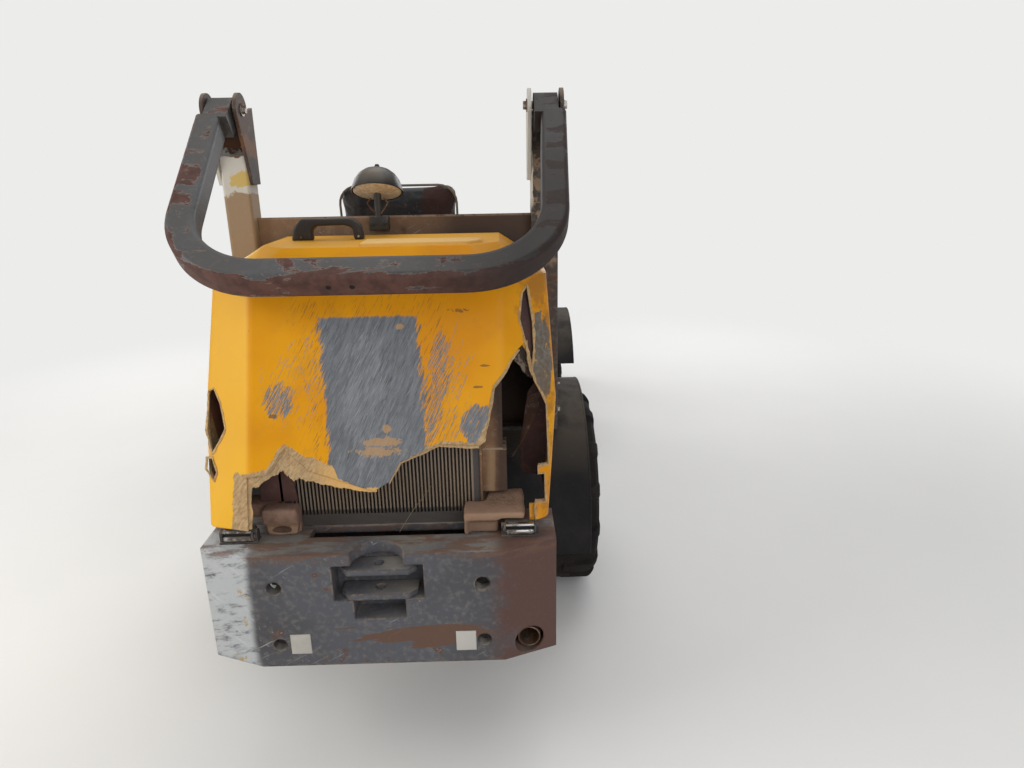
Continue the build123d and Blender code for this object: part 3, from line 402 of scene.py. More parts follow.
hoodLook = {
    "scrapedPale": (0.3, 0.31, 0.32),
    # fibreBright: the fibre in painted sunlight, and its pale clumps
    "fibre": (0.52, 0.37, 0.2), "fibreDark": (0.33, 0.205, 0.105), "fibreBright": (0.72, 0.42, 0.14),
    # upper edge of the patch, then each side's x there and how far it moves out for each metre down
    "patchTop": 1.15, "patchLeft": (-0.139, 0.092), "patchRight": (0.102, 0.062),
    # centre x, z and half sizes of the streaky places beside the patch, how ragged and how sparse they are
    "streaks": [(-0.232, 0.965, 0.036, 0.04, 2.2, 0.44), (-0.195, 0.99, 0.07, 0.08, 4.0, 0.57),
                (0.158, 1.035, 0.026, 0.08, 2.4, 0.47), (0.172, 0.99, 0.05, 0.11, 4.4, 0.555),
                (0.248, 0.9, 0.044, 0.046, 1.4, 0.36), (0.128, 0.93, 0.03, 0.075, 2.6, 0.46),
                (-0.145, 1.04, 0.028, 0.08, 3.6, 0.55), (0.19, 0.895, 0.05, 0.03, 3.0, 0.54)],
    "spots": [
        # colour, and its blobs
        ((0.5, 0.29, 0.12), [(0.014, 0.868, 0.046, 0.01, 2.6), (0.026, 0.897, 0.01, 0.009, 2.0),
                              (0.06, 1.126, 0.01, 0.007, 2.0), (0.004, 0.846, 0.05, 0.01, 5.0)]),
        ((0.1, 0.055, 0.03), [(0.262, 1.033, 0.012, 0.003, 2.4), (0.246, 0.985, 0.012, 0.003, 2.6),
                               (-0.245, 0.93, 0.01, 0.005, 2.4), (0.205, 1.16, 0.018, 0.004, 7.0)]),
    ],
    # broken edge of the colour over the pale fibre, x and z
    "brokenEdge": [(-0.45, 0.772), (-0.335, 0.8), (-0.3, 0.806), (-0.262, 0.815), (-0.232, 0.858),
                   (-0.214, 0.868), (-0.18, 0.85), (-0.15, 0.838), (-0.105, 0.822), (-0.09, 0.79),
                   (-0.04, 0.77), (0.03, 0.77), (0.062, 0.826), (0.11, 0.848), (0.152, 0.868), (0.24, 0.864),
                   (0.262, 0.9), (0.284, 0.96), (0.318, 1.01), (0.372, 1.072), (0.45, 1.098)],
}


def tornCurve(x, points, bottom, top):
    # height of a broken edge for each x, as a curve between a few points
    low, high = points[0][0], points[-1][0]
    node = addNode("FloatCurve", {"Value": (x - low) / (high - low)})
    curve = node.mapping.curves[0]
    spots = [((px - low) / (high - low), (pz - bottom) / (top - bottom)) for px, pz in points]
    curve.points[0].location = spots[0]
    curve.points[-1].location = spots[-1]
    for spot in spots[1:-1]:
        curve.points.new(*spot)
    for point in curve.points:
        point.handle_type = "VECTOR"
    node.mapping.update()
    return shaderValue(node.outputs[0]) * (top - bottom) + bottom


def hoodMaterial():
    openMaterial("hoodGelCoat", 0.004)
    x, y, z = kit.axes
    broad = noise(3.2, 3, 0.55)
    grain = noise(90, 3, 0.6)
    kit.colour = mixColour(fade(broad, 0.36, 0.66), (0.76, 0.335, 0.004), (0.66, 0.255, 0.003))
    tint((0.36, 0.19, 0.05), fade(noise(9, 6, 0.7), 0.52, 0.74) * 0.3)
    # painted sunlight: paler yellow where the hood faces up, and brighter yellow on its left facet
    tint((0.82, 0.44, 0.06), fade(kit.facing[2], 0.75, 0.97) * 0.65)
    tint((0.86, 0.52, 0.03), fade(x, -0.3, -0.316) * 0.5)
    # strokes lean up to the right, as if the hood had been dragged against a wall
    rough = strokes((105, 20, 15), (0, -0.4, 0), 6, 0.75, 0.35)
    fine = strokes((520, 50, 26), (0, -0.5, 0), 4, 0.65)
    onRear = fade(kit.facing[1], -0.45, -0.62)
    under = hoodLook["patchTop"] - z
    left = x - (under * hoodLook["patchLeft"][1] + hoodLook["patchLeft"][0])
    right = under * hoodLook["patchRight"][1] + hoodLook["patchRight"][0] - x
    pushed = rough - 0.5
    margin = maths("MINIMUM", pushed * 0.075 + maths("MINIMUM", left, right), pushed * 0.022 + under)
    bared = fade(margin, -0.003, 0.004)
    for *spot, sparse in hoodLook["streaks"]:
        bared = most(bared, blob(spot, rough) * fade(fine, sparse, sparse + 0.06))
    scattered = fade(rough, 0.69, 0.71) * fade(noise(5, 3, 0.6), 0.5, 0.6)
    bared = most(bared, scattered) * onRear
    grey = mixColour(fade(rough, 0.38, 0.62), (0.188, 0.2, 0.216), (0.132, 0.14, 0.154))
    grey = mixColour(fade(fine, 0.54, 0.68) * 0.6, grey, hoodLook["scrapedPale"])
    worn = blob((-0.022, 0.96, 0.045, 0.15, 3.0), rough) * fade(fine, 0.4, 0.62)
    tint(mixColour(worn * 0.45, grey, hoodLook["scrapedPale"]), bared)
    near = fade(margin + broad * 0.1, -0.045, 0.02)
    hair = strokes((560, 60, 17), (0, -0.46, 0), 2, 0.5, 0.2, (0.3, 0, 0))
    tint((0.06, 0.055, 0.055), near * onRear * fade(hair, 0.625, 0.655) * 0.62)
    for tone, spots in hoodLook["spots"]:
        for spot in spots:
            tint(tone, blob(spot, noise(85, 6, 0.78)) * onRear * 0.65)
    # pale broken fibre under the torn line, and on the cut edges
    ragged = noise(38, 6, 0.75) * 0.036 - 0.02
    below = tornCurve(x, hoodLook["brokenEdge"], 0.6, 1.2) + ragged - z
    side = noise(30, 4, 0.7) * 0.03 - 0.36
    torn = fade(below, -0.001, 0.0025) * fade(x - side, -0.001, 0.002) * fade(x, 0.385, 0.375)
    acrossIt = fade(absolute(kit.facing[1]), 0.12, 0.05)
    cut = acrossIt * fade(y, station(0.245), station(0.235)) * fade(absolute(x), 0.44, 0.425)
    weave = strokes((60, 60, 240), (0, 0.9, 0), 5, 0.75)
    fibre = mixColour(fade(weave, 0.36, 0.64), hoodLook["fibreDark"], hoodLook["fibre"])
    # painted sunlight: the fibre is brighter along the middle of the lower tear
    lit = band(x, -0.175, -0.085, -0.01, 0.03) * fade(z, 0.85, 0.815)
    torn = most(torn, cut)
    tint(mixColour(lit * 0.8, fibre, hoodLook["fibreBright"]), torn)
    # the inner side: its normal looks back to the middle of the hood
    middle = vectorMaths("SUBTRACT", kit.place, (0, station(0.62), 0.86))
    inner = fade(vectorMaths("DOT_PRODUCT", middle, kit.normal, "Value"), 0.0, -0.02)
    tint((0.23, 0.095, 0.06), inner * (1.0 - cut))
    # the right corner is scuffed blue-grey, with patchy dark brown down its right edge, painted shade on the
    # facet that turns away
    scuffs = blob((0.402, 1.035, 0.03, 0.11, 1.2), noise(20, 6, 0.7)) * fade(x, 0.372, 0.378)
    scuffs = scuffs * fade(inner, 0.5, 0.1)
    blueGrey = mixColour(fade(grain, 0.35, 0.65), (0.135, 0.155, 0.155), (0.085, 0.095, 0.095))
    tint(blueGrey, scuffs * fade(strokes((50, 50, 28), (0.3, 0, 0), 4, 0.7), 0.64, 0.6) * 0.92)
    # painted shade: patchy dark brown on the right facet
    tint((0.17, 0.085, 0.035), fade(x, 0.322, 0.35) * fade(noise(8, 6, 0.7), 0.47, 0.6) * 0.5)
    tint((0.3, 0.19, 0.09), fade(kit.edge * 0.1 + noise(30, 6, 0.7), 0.7, 0.72))
    gloss = mixValue(torn, mixValue(bared, grain * 0.2 + 0.34, 0.72), 0.92)
    height = rough * (bared * 1.2) - bared * 0.5 + torn * weave * 1.6 - torn * 1.2
    return closeMaterial(gloss, height, 0.0011, gloss=0.2)


def fibreMaterial(name, pale, dark, bright):
    openMaterial(name)
    weave = strokes((70, 70, 260), (0, 0.9, 0), 5, 0.78)
    clumps = noise(24, 5, 0.7)
    kit.colour = mixColour(fade(weave, 0.34, 0.62), dark, pale)
    tint(bright, fade(clumps, 0.52, 0.6) * 0.45)
    # painted sunlight on the fibre along the middle of the lower tear
    tint(bright, band(kit.axes[0], -0.175, -0.085, -0.01, 0.03) * 0.8)
    return closeMaterial(0.93, weave + clumps, 0.0018)


# Rubber, plastics, leather-cloth, glass and bare metal

def rubberMaterial(name, colour, dust):
    openMaterial(name, 0.003)
    grain = noise(160, 3, 0.6)
    dusty = fade(grain * 0.3 + noise(5, 4, 0.6), 0.5, 0.78)
    kit.colour = mixColour(dusty * 0.5, colour, dust)
    tint(dust, kit.edge * 0.35)
    cracks = fade(cells(55.0, feature="DISTANCE_TO_EDGE"), 0.05, 0.0)
    return closeMaterial(dusty * 0.15 + 0.78, grain - cracks * 0.25, 0.0012, gloss=0.14)


def plasticMaterial(name, colour, faded, scuffed, dust, grainScale, roughness, depth, edgeRadius=0.003,
                    gloss=0.32):
    openMaterial(name, edgeRadius)
    broad = noise(6, 4, 0.6)
    kit.colour = mixColour(fade(broad, 0.42, 0.72), colour, faded)
    tint((0.2, 0.165, 0.125), fade(kit.facing[2], 0.4, 0.95) * dust * fade(broad, 0.3, 0.6))
    tint(scuffed, fade(kit.edge * 0.14 + noise(40, 6, 0.7), 0.66, 0.7) * 0.6)
    return closeMaterial(broad * 0.2 + (roughness - 0.1), cells(grainScale), depth, gloss=gloss)


def vinylMaterial():
    openMaterial("seatVinyl")
    leather = cells(210.0, feature="DISTANCE_TO_EDGE")
    creases = strokes((10, 50, 50), (0.2, 0.1, 0.3), 5, 0.7)
    broad = noise(7, 4, 0.6)
    kit.colour = mixColour(fade(broad, 0.45, 0.68), (0.022, 0.021, 0.022), (0.06, 0.05, 0.045))
    torn = blob((0.12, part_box("seat_back")[1].z - 0.06, 0.055, 0.05, 2.0), noise(22, 5, 0.7))
    tint((0.055, 0.027, 0.022), torn)
    tint((0.11, 0.09, 0.075), fade(noise(60, 4, 0.7), 0.6, 0.66) * 0.5)
    rough = mixValue(torn, broad * 0.22 + 0.3, 0.9)
    height = fade(creases, 0.62, 0.5) * 1.4 + fade(leather, 0.0, 0.09) * 0.5 - torn * 2.0
    return closeMaterial(rough, height, 0.0006)


def metalMaterial(name, colour, bright, stain, stainLevel, roughness, eyes=()):
    openMaterial(name, 0.002)
    x, y, z = kit.axes
    brushed = strokes((12, 12, 380), (0.4, 0.3, 0), 3, 0.6)
    stained = fade(kit.edge * 0.06 + noise(14, 5, 0.65), stainLevel, stainLevel + 0.08)
    for eyeY, eyeZ, reach in eyes:
        # the rod's eye is plain steel
        away = vectorMaths("LENGTH", output("CombineXYZ", {0: y - eyeY, 1: z - eyeZ}), out="Value")
        stained = most(stained, fade(away, reach, reach - 0.002))
    kit.colour = mixColour(fade(brushed, 0.3, 0.7), colour, bright)
    tint(stain, stained)
    rough = mixValue(stained, brushed * 0.14 + roughness, 0.75)
    return closeMaterial(rough, stained * 0.6 + brushed * 0.15, 0.0004, mixValue(stained, 1.0, 0.15))


def castMaterial(name, colour, shade, oiled):
    openMaterial(name, 0.006)
    kit.colour = mixColour(fade(noise(5, 5, 0.6), 0.35, 0.65), colour, shade)
    oil = fade(strokes((9, 9, 3), (0, 0, 0), 5, 0.65), 0.52, 0.62)
    tint(oiled, oil * 0.7)
    return closeMaterial(mixValue(oil, 0.72, 0.32), noise(150, 4, 0.7), 0.0014)


def radiatorMaterial():
    openMaterial("radiatorFins")
    x, y, z = kit.axes
    front = fade(kit.facing[1], -0.5, -0.9) * fade(y, station(0.16), station(0.15))
    kit.colour = mixColour(front, (0.075, 0.052, 0.038), (0.25, 0.198, 0.152))
    tint((0.24, 0.17, 0.11), fade(noise(9, 5, 0.65), 0.42, 0.66) * 0.55)
    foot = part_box("radiator")[0].z
    border = most(fade(z, foot + 0.046, foot + 0.04), fade(absolute(x), 0.226, 0.23))
    tint((0.05, 0.046, 0.046), border * front * 0.85)
    # rows of thin cooling fins across the tubes
    rows = output("TexWave", {"Vector": kit.place, "Scale": 95.0, "Distortion": 0.4, "Detail": 1.0}, 1,
                  wave_type="BANDS", bands_direction="Z")
    tint((0.015, 0.012, 0.01), fade(rows, 0.5, 0.1) * (1.0 - front) * 0.6)
    return closeMaterial(0.7, rows, 0.001)


def glassMaterial():
    openMaterial("lampLens")
    prisms = cells(110.0, distance="CHEBYCHEV")
    kit.colour = mixColour(fade(prisms, 0.2, 0.6), (0.74, 0.64, 0.48), (0.92, 0.86, 0.74))
    tint((0.46, 0.32, 0.2), fade(noise(20, 3, 0.6), 0.45, 0.65) * 0.3)
    kit.shader.inputs["Coat Weight"].default_value = 0.6
    kit.shader.inputs["Coat Roughness"].default_value = 0.1
    return closeMaterial(0.22, prisms, 0.0012)


def foamMaterial():
    openMaterial("padFoam")
    x, y, z = kit.axes
    broad = noise(16, 5, 0.7)
    kit.colour = mixColour(fade(broad, 0.38, 0.62), (0.235, 0.145, 0.105), (0.165, 0.092, 0.064))
    bare = fade(noise(28, 6, 0.75), 0.645, 0.665)
    toRear = fade(kit.facing[1], -0.3, -0.75)
    lip = fade(x, 0.0, 0.01) * toRear * fade(z, 0.67, 0.676) * fade(y, station(0.095), station(0.09))
    rim = fade(x, 0.0, -0.01) * toRear * fade(z, 0.676, 0.668) * fade(broad, 0.36, 0.46)
    tint((0.36, 0.23, 0.14), most(lip, rim) * 0.7)
    # painted shade in the hollow of the left pad's face
    tint((0.05, 0.026, 0.018), blob((-0.243, 0.648, 0.024, 0.009, 0.6), broad) * 0.75)
    tint((0.3, 0.19, 0.125), fade(x, 0.1, 0.2) * fade(broad, 0.3, 0.52) * 0.5)
    tint((0.42, 0.28, 0.17), bare)
    return closeMaterial(0.88, cells(190.0) * 0.6 - bare, 0.0016)


def matMaterial():
    openMaterial("ribbedMat")
    kit.colour = mixColour(fade(noise(5, 4, 0.6), 0.4, 0.7), (0.02, 0.02, 0.02), (0.14, 0.115, 0.085))
    ribs = output("TexWave", {"Vector": kit.place, "Scale": 28.0}, 1, bands_direction="X")
    return closeMaterial(0.85, ribs, 0.003)


plastics = [
    # slot, name, colour, faded, scuffed, dust, scale of the grain, roughness, its depth, rounding, gloss
    ("fender_plastic", "fenderPlastic", (0.013, 0.012, 0.013), (0.024, 0.022, 0.021), (0.075, 0.07, 0.065),
     0.35, 320.0, 0.66, 0.0006, 0.003, 0.18),
    ("handle_plastic", "handlePlastic", (0.03, 0.026, 0.025), (0.06, 0.052, 0.046), (0.24, 0.19, 0.14),
     0.55, 260.0, 0.5, 0.0004, 0.005),
    ("grip_plastic", "gripPlastic", (0.018, 0.018, 0.019), (0.04, 0.038, 0.036), (0.1, 0.09, 0.08),
     0.3, 240.0, 0.5, 0.0005),
    ("lamp_plastic", "lampShell", (0.016, 0.017, 0.016), (0.045, 0.044, 0.04), (0.22, 0.2, 0.17),
     0.8, 400.0, 0.36, 0.0002),
    ("piping", "piping", (0.17, 0.14, 0.11), (0.26, 0.21, 0.16), (0.05, 0.04, 0.035), 0.3, 300.0, 0.6,
     0.0004),
    ("straw", "straw", (0.34, 0.25, 0.15), (0.24, 0.16, 0.09), (0.14, 0.09, 0.05), 0.2, 300.0, 0.8, 0.0004),
    ("blankPlate", "blankPlate", (0.5, 0.48, 0.44), (0.36, 0.33, 0.28), (0.12, 0.1, 0.09),
     0.2, 500.0, 0.45, 0.0002),
    # near-black painted shade that stands in for slots and holes
    ("paintedHollowShade", "paintedHollowShade", (0.008, 0.008, 0.008), (0.016, 0.014, 0.012), (0.03, 0.025, 0.02),
     0.2, 200.0, 0.8, 0.0002),
]


def makeMaterials():
    finishes = {
        "weight_paint": agedPaint(
            "weightPaint", (0.09, 0.092, 0.105), (0.066, 0.064, 0.07), (0.3, 0.22, 0.16), weightExtra,
            rust=(0.12, 0.05, 0.026), scratch=(0.36, 0.35, 0.34), chipScale=13.0, chipLevel=0.675,
            rustLevel=0.655, edgeWear=0.15, dust=(0.3, 0.27, 0.23), dustAmount=0.85, roughness=0.55,
            edgeRadius=0.009, depth=0.0012),
        "rollbar_paint": agedPaint(
            "rollBarPaint", (0.082, 0.083, 0.088), (0.055, 0.054, 0.056), (0.17, 0.115, 0.09), barExtra,
            rust=(0.095, 0.042, 0.03), scratch=(0.22, 0.21, 0.2), chipScale=17.0, chipLevel=0.7,
            rustLevel=0.69, edgeWear=0.06, dust=(0.16, 0.145, 0.13), dustAmount=0.3, roughness=0.45,
            edgeRadius=0.003, depth=0.001),
        "postPaint": agedPaint(
            "postPaint", (0.048, 0.043, 0.041), (0.078, 0.052, 0.04), (0.24, 0.18, 0.14), postExtra,
            rust=(0.115, 0.048, 0.026), scratch=(0.34, 0.3, 0.26), chipScale=19.0, chipLevel=0.65,
            rustLevel=0.61, edgeWear=0.15, dust=(0.36, 0.28, 0.2), dustAmount=0.5, roughness=0.58),
        "chassis_paint": agedPaint(
            "chassisPaint", (0.05, 0.051, 0.054), (0.032, 0.032, 0.034), (0.16, 0.11, 0.085),
            chipLevel=0.7, rustLevel=0.67, edgeWear=0.12, roughness=0.48),
        # the bulkhead's tan is brown dust brightened by painted sunlight
        "bulkhead_paint": agedPaint(
            "bulkheadPaint", (0.255, 0.16, 0.095), (0.19, 0.112, 0.066), (0.12, 0.06, 0.038), bulkheadExtra,
            rust=(0.125, 0.06, 0.036), chipScale=9.0, chipLevel=0.69, rustLevel=0.65, dust=(0.4, 0.29, 0.19),
            roughness=0.7),
        "shroud_paint": agedPaint(
            "shroudPaint", (0.215, 0.112, 0.056), (0.12, 0.062, 0.034), (0.26, 0.16, 0.09), shroudExtra,
            rust=(0.1, 0.045, 0.025), chipScale=14.0, roughness=0.75),
        "bucket_paint": agedPaint(
            "bucketPaint", (0.06, 0.061, 0.064), (0.095, 0.072, 0.058), (0.27, 0.25, 0.235),
            rust=(0.135, 0.06, 0.032), chipScale=7.0, chipLevel=0.6, rustLevel=0.56, edgeWear=0.22,
            scratchLevel=0.64, depth=0.001),
        "rim_paint": agedPaint(
            "rimPaint", (0.42, 0.42, 0.4), (0.33, 0.32, 0.29), (0.16, 0.1, 0.07),
            rust=(0.17, 0.075, 0.038), chipLevel=0.68, rustLevel=0.65, roughness=0.45),
        "hinge_steel": agedPaint(
            "hingeSteel", (0.055, 0.052, 0.052), (0.035, 0.032, 0.032), (0.24, 0.2, 0.17),
            chipLevel=0.64, edgeRadius=0.002),
        "hingeCover": agedPaint(
            "hingeCover", (0.05, 0.046, 0.045), (0.034, 0.03, 0.03), (0.22, 0.18, 0.15), strapExtra,
            chipLevel=0.66, edgeRadius=0.002),
        "stationPaint": agedPaint(
            "stationPaint", (0.7, 0.31, 0.02), (0.6, 0.25, 0.015), (0.22, 0.17, 0.14),
            scratch=(0.45, 0.36, 0.24), chipScale=16.0, chipLevel=0.69, rustLevel=0.675, edgeWear=0.1,
            dust=(0.42, 0.31, 0.19), roughness=0.42),
        "innerBrown": agedPaint(
            "innerBrown", (0.1, 0.048, 0.04), (0.062, 0.034, 0.032), (0.16, 0.1, 0.08),
            chipLevel=0.74, dust=(0.16, 0.11, 0.08), roughness=0.8),
        "palePaint": agedPaint(
            "palePaint", (0.8, 0.47, 0.1), (0.74, 0.4, 0.07), (0.4, 0.25, 0.13),
            scratch=(0.6, 0.45, 0.25), chipLevel=0.72, rustLevel=0.73, rust=(0.45, 0.25, 0.1),
            dust=(0.7, 0.5, 0.26)),
        "hood_paint": hoodMaterial(),
        "fibre": fibreMaterial("brokenFibre", hoodLook["fibre"], hoodLook["fibreDark"],
                               hoodLook["fibreBright"]),
        "burntFibre": fibreMaterial("dirtyFibre", (0.06, 0.04, 0.03), (0.02, 0.015, 0.013),
                                    (0.36, 0.28, 0.2)),
        "rimFibre": fibreMaterial("rimFibre", (0.5, 0.34, 0.17), (0.3, 0.17, 0.07), (0.66, 0.46, 0.22)),
        "axle_paint": castMaterial("axleCasting", (0.07, 0.07, 0.072), (0.1, 0.08, 0.062),
                                   (0.02, 0.018, 0.016)),
        "engine_iron": castMaterial("engineIron", (0.07, 0.052, 0.042), (0.046, 0.034, 0.028),
                                    (0.02, 0.015, 0.012)),
        "radiator_metal": radiatorMaterial(),
        "exhaust_steel": metalMaterial(
            "exhaustSteel", (0.26, 0.19, 0.14), (0.36, 0.28, 0.22), (0.12, 0.058, 0.03), 0.44, 0.5),
        "hinge_chrome": metalMaterial(
            "hingeChrome", (0.52, 0.51, 0.5), (0.68, 0.67, 0.65), (0.13, 0.105, 0.085), 0.5, 0.22),
        "rod_chrome": metalMaterial(
            "rodChrome", (0.62, 0.62, 0.63), (0.7, 0.7, 0.71), (0.095, 0.075, 0.062), 0.66, 0.12,
            [(0.505, 0.928, 0.034), (1.195, 0.295, 0.034)]),
        "boltZinc": metalMaterial(
            "boltZinc", (0.34, 0.32, 0.29), (0.46, 0.44, 0.4), (0.13, 0.065, 0.036), 0.5, 0.4),
        "pad_foam": foamMaterial(),
        "tyre_rubber": rubberMaterial("tyreRubber", (0.011, 0.01, 0.01), (0.046, 0.038, 0.031)),
        "lamp_glass": glassMaterial(),
        "seat_vinyl": vinylMaterial(),
        "ribbedMat": matMaterial(),
    }
    for slot, *look in plastics:
        finishes[slot] = plasticMaterial(*look)
    print("materials made:", len(finishes))
    return finishes


makeCamera()
makeLights()
finish = makeMaterials()
nodeFinish = {"deck_posts": "postPaint", "hinge_covers": "hingeCover", "seat_box": "stationPaint",
              "boom": "stationPaint"}
for part in record["subparts"]:
    for holder in nodes[part["node"]].material_slots:
        holder.material = finish[nodeFinish.get(part["node"], part["material_slot"])]


# Shapes in bmesh

def rounded(shape, edges, offset, segments=2):
    return bmesh.ops.bevel(shape, geom=edges, offset=offset, segments=segments, profile=0.5, affect="EDGES",
                           material=-1)["verts"]


def edgesOf(verts):
    return list({edge for vert in verts for edge in vert.link_edges})


def addBlock(shape, low, high, bevel=0.0, segments=2):
    made = bmesh.ops.create_cube(shape, size=1.0)["verts"]
    low, high = Vector(low), Vector(high)
    bmesh.ops.scale(shape, vec=high - low, verts=made)
    bmesh.ops.translate(shape, vec=(low + high) / 2, verts=made)
    return rounded(shape, edgesOf(made), bevel, segments) if bevel else made


def addRod(shape, start, end, radius, steps=24, endRadius=None, bevel=0.0):
    start, end = Vector(start), Vector(end)
    along = end - start
    turn = along.to_track_quat("Z", "Y").to_matrix().to_4x4()
    made = bmesh.ops.create_cone(shape, cap_ends=True, cap_tris=False, segments=steps, radius1=radius,
                                 radius2=radius if endRadius is None else endRadius, depth=along.length,
                                 matrix=Matrix.Translation((start + end) / 2) @ turn)["verts"]
    if bevel:
        rims = [edge for edge in edgesOf(made) if sum(len(face.verts) > 4 for face in edge.link_faces) == 1]
        rounded(shape, rims, bevel)


def addSpun(shape, profile, centre, axis, steps=48, closed=False):
    # profile: radius and height along the axis
    centre, axis = Vector(centre), Vector(axis).normalized()
    side = axis.orthogonal().normalized()
    verts = [shape.verts.new(centre + side * radius + axis * height) for radius, height in profile]
    edges = [shape.edges.new(pair) for pair in zip(verts, verts[1:])]
    if closed:
        edges.append(shape.edges.new((verts[-1], verts[0])))
    bmesh.ops.spin(shape, geom=verts + edges, cent=centre, axis=axis, angle=2 * math.pi, steps=steps,
                   use_merge=True)
    bmesh.ops.remove_doubles(shape, verts=shape.verts, dist=1e-6)


def addBolt(shape, place, axis, width, washer=True):
    place, axis = Vector(place), Vector(axis).normalized()
    if washer:
        addRod(shape, place, place + axis * width * 0.14, width * 0.86, 16)
    addRod(shape, place + axis * width * 0.14, place + axis * width * 0.56, width * 0.58, 6, width * 0.54)


def addTube(shape, path, radius, steps=12):
    # a round bar along a few points, its rings turned to the run
    path = [Vector(point) for point in path]
    rings = []
    for index, point in enumerate(path):
        along = path[min(index + 1, len(path) - 1)] - path[max(index - 1, 0)]
        turn = along.to_track_quat("Z", "Y").to_matrix().to_4x4()
        rings.append(bmesh.ops.create_circle(shape, segments=steps, radius=radius,
                                             matrix=Matrix.Translation(point) @ turn)["verts"])
    for first, second in zip(rings, rings[1:]):
        loops = [edge for ring in (first, second) for edge in edgesOf(ring)
                 if edge.verts[0] in ring and edge.verts[1] in ring]
        bmesh.ops.bridge_loops(shape, edges=loops)
    for ring in (rings[0], rings[-1]):
        bmesh.ops.contextual_create(shape, geom=ring)


def addPrism(shape, near, far):
    shape.faces.new(near)
    shape.faces.new(far[::-1])
    for index in range(len(near)):
        after = (index + 1) % len(near)
        shape.faces.new((near[after], near[index], far[index], far[after]))


def addPiece(name, shape, look, body="rear_frame", sharp=35, fixNormals=True, stands=None):
    if fixNormals:
        bmesh.ops.recalc_face_normals(shape, faces=shape.faces)
    data = bpy.data.meshes.new(name)
    shape.to_mesh(data)
    shape.free()
    data.polygons.foreach_set("use_smooth", [True] * len(data.polygons))
    data.set_sharp_from_angle(angle=math.radians(sharp))
    data.materials.append(finish[look])
    piece = bpy.data.objects.new(name, data)
    bpy.context.scene.collection.objects.link(piece)
    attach(piece, body)
    if stands:
        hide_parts(stands)
    return piece


def copyOfNode(name):
    shape = bmesh.new()
    shape.from_mesh(nodes[name].data)
    bmesh.ops.remove_doubles(shape, verts=shape.verts, dist=1e-5)
    return shape


def addModifier(piece, name, kind, **settings):
    modifier = piece.modifiers.new(name, kind)
    for key, value in settings.items():
        setattr(modifier, key, value)
    return modifier


# Hood: broken fibre along the tears, sheets seen through them, the band on its top, handle and hinge boxes

hood = {
    # height, half-width of the rear face, its station, half-width at the side, station of the side
    "sections": [
        (0.678, 0.3, 0.04, 0.411, 0.073), (0.928, 0.305, 0.139, 0.441, 0.227),
        (1.229, 0.306, 0.256, 0.424, 0.336), (1.305, 0.232, 0.33, 0.306, 0.392)],
    "torn": [
        # name, whether the fibre reaches sideways, then x and height of the moulding's rim and its reach
        ("tornFibre1", False, [
            (-0.306, 0.8, 0.03), (-0.285, 0.803, 0.03), (-0.262, 0.804, 0.014), (-0.245, 0.828, 0.03),
            (-0.222, 0.858, 0.052), (-0.205, 0.848, 0.062), (-0.18, 0.828, 0.04), (-0.15, 0.808, 0.026),
            (-0.11, 0.796, 0.024), (-0.07, 0.784, 0.018), (-0.03, 0.771, 0.012), (0.0, 0.764, 0.006)]),
        ("tornFibre2", False, [
            (0.03, 0.786, 0.012), (0.046, 0.808, 0.01), (0.06, 0.828, 0.008), (0.105, 0.846, 0.01),
            (0.15, 0.864, 0.009), (0.2, 0.862, 0.012), (0.246, 0.86, 0.012)]),
        ("tornCurl1", True, [
            (0.25, 0.862, 0.01), (0.262, 0.905, 0.009), (0.271, 0.945, 0.01), (0.281, 0.984, 0.007),
            (0.306, 1.014, 0.009), (0.324, 1.04, 0.007), (0.344, 1.06, 0.006)]),
        ("tornCurl2", True, [
            (-0.302, 0.684, 0.006), (-0.302, 0.715, 0.009), (-0.303, 0.742, 0.005), (-0.304, 0.768, 0.008),
            (-0.305, 0.792, 0.006)]),
    ],
    "holes": [
        [(0.366, 1.074), (0.352, 1.13), (0.36, 1.19), (0.372, 1.206), (0.384, 1.12), (0.386, 1.06),
         (0.378, 1.0)],
        [(-0.428, 0.968), (-0.412, 0.976), (-0.392, 0.946), (-0.374, 0.892), (-0.39, 0.862), (-0.41, 0.832),
         (-0.43, 0.88)],
        [(-0.424, 0.818), (-0.41, 0.822), (-0.394, 0.792), (-0.402, 0.776), (-0.424, 0.796)],
    ],
    "tearRight": [(0.366, 1.078), (0.384, 0.985), (0.402, 0.95), (0.414, 0.922), (0.415, 0.79),
                  (0.388, 0.792), (0.388, 0.774), (0.404, 0.772), (0.404, 0.712), (0.378, 0.716),
                  (0.376, 0.69)],
    "slitBacking": [(0.36, 1.05), (0.342, 1.13), (0.35, 1.205), (0.374, 1.22), (0.394, 1.13), (0.396, 1.06),
                    (0.384, 0.99), (0.376, 0.985)],
    "innerPanel": [(0.352, 0.7), (0.35, 0.79), (0.36, 0.85), (0.372, 0.93), (0.392, 0.962), (0.424, 0.955),
                   (0.428, 0.8), (0.42, 0.7)],
    # fibre torn off the rear face, hanging by its upper edge
    "flap": [(0.326, 1.05), (0.346, 1.066), (0.366, 1.072), (0.372, 1.04), (0.378, 1.004), (0.381, 0.985),
             (0.368, 0.99), (0.357, 1.004), (0.349, 1.02), (0.338, 1.03)],
    "band": [(-0.045, 0.338), (0.226, 0.338), (0.262, 0.374), (0.262, 0.405), (0.236, 0.428), (-0.045, 0.44)],
}


def hoodStation(x, height):
    rows = hood["sections"]
    height = min(max(height, rows[0][0]), rows[-1][0])
    low, high = next(pair for pair in zip(rows, rows[1:]) if height <= pair[1][0])
    share = (height - low[0]) / (high[0] - low[0])
    half, rear, sideHalf, side = [a + (b - a) * share for a, b in zip(low[1:], high[1:])]
    return rear + (side - rear) * min(max(abs(x) - half, 0) / (sideHalf - half), 1.2)


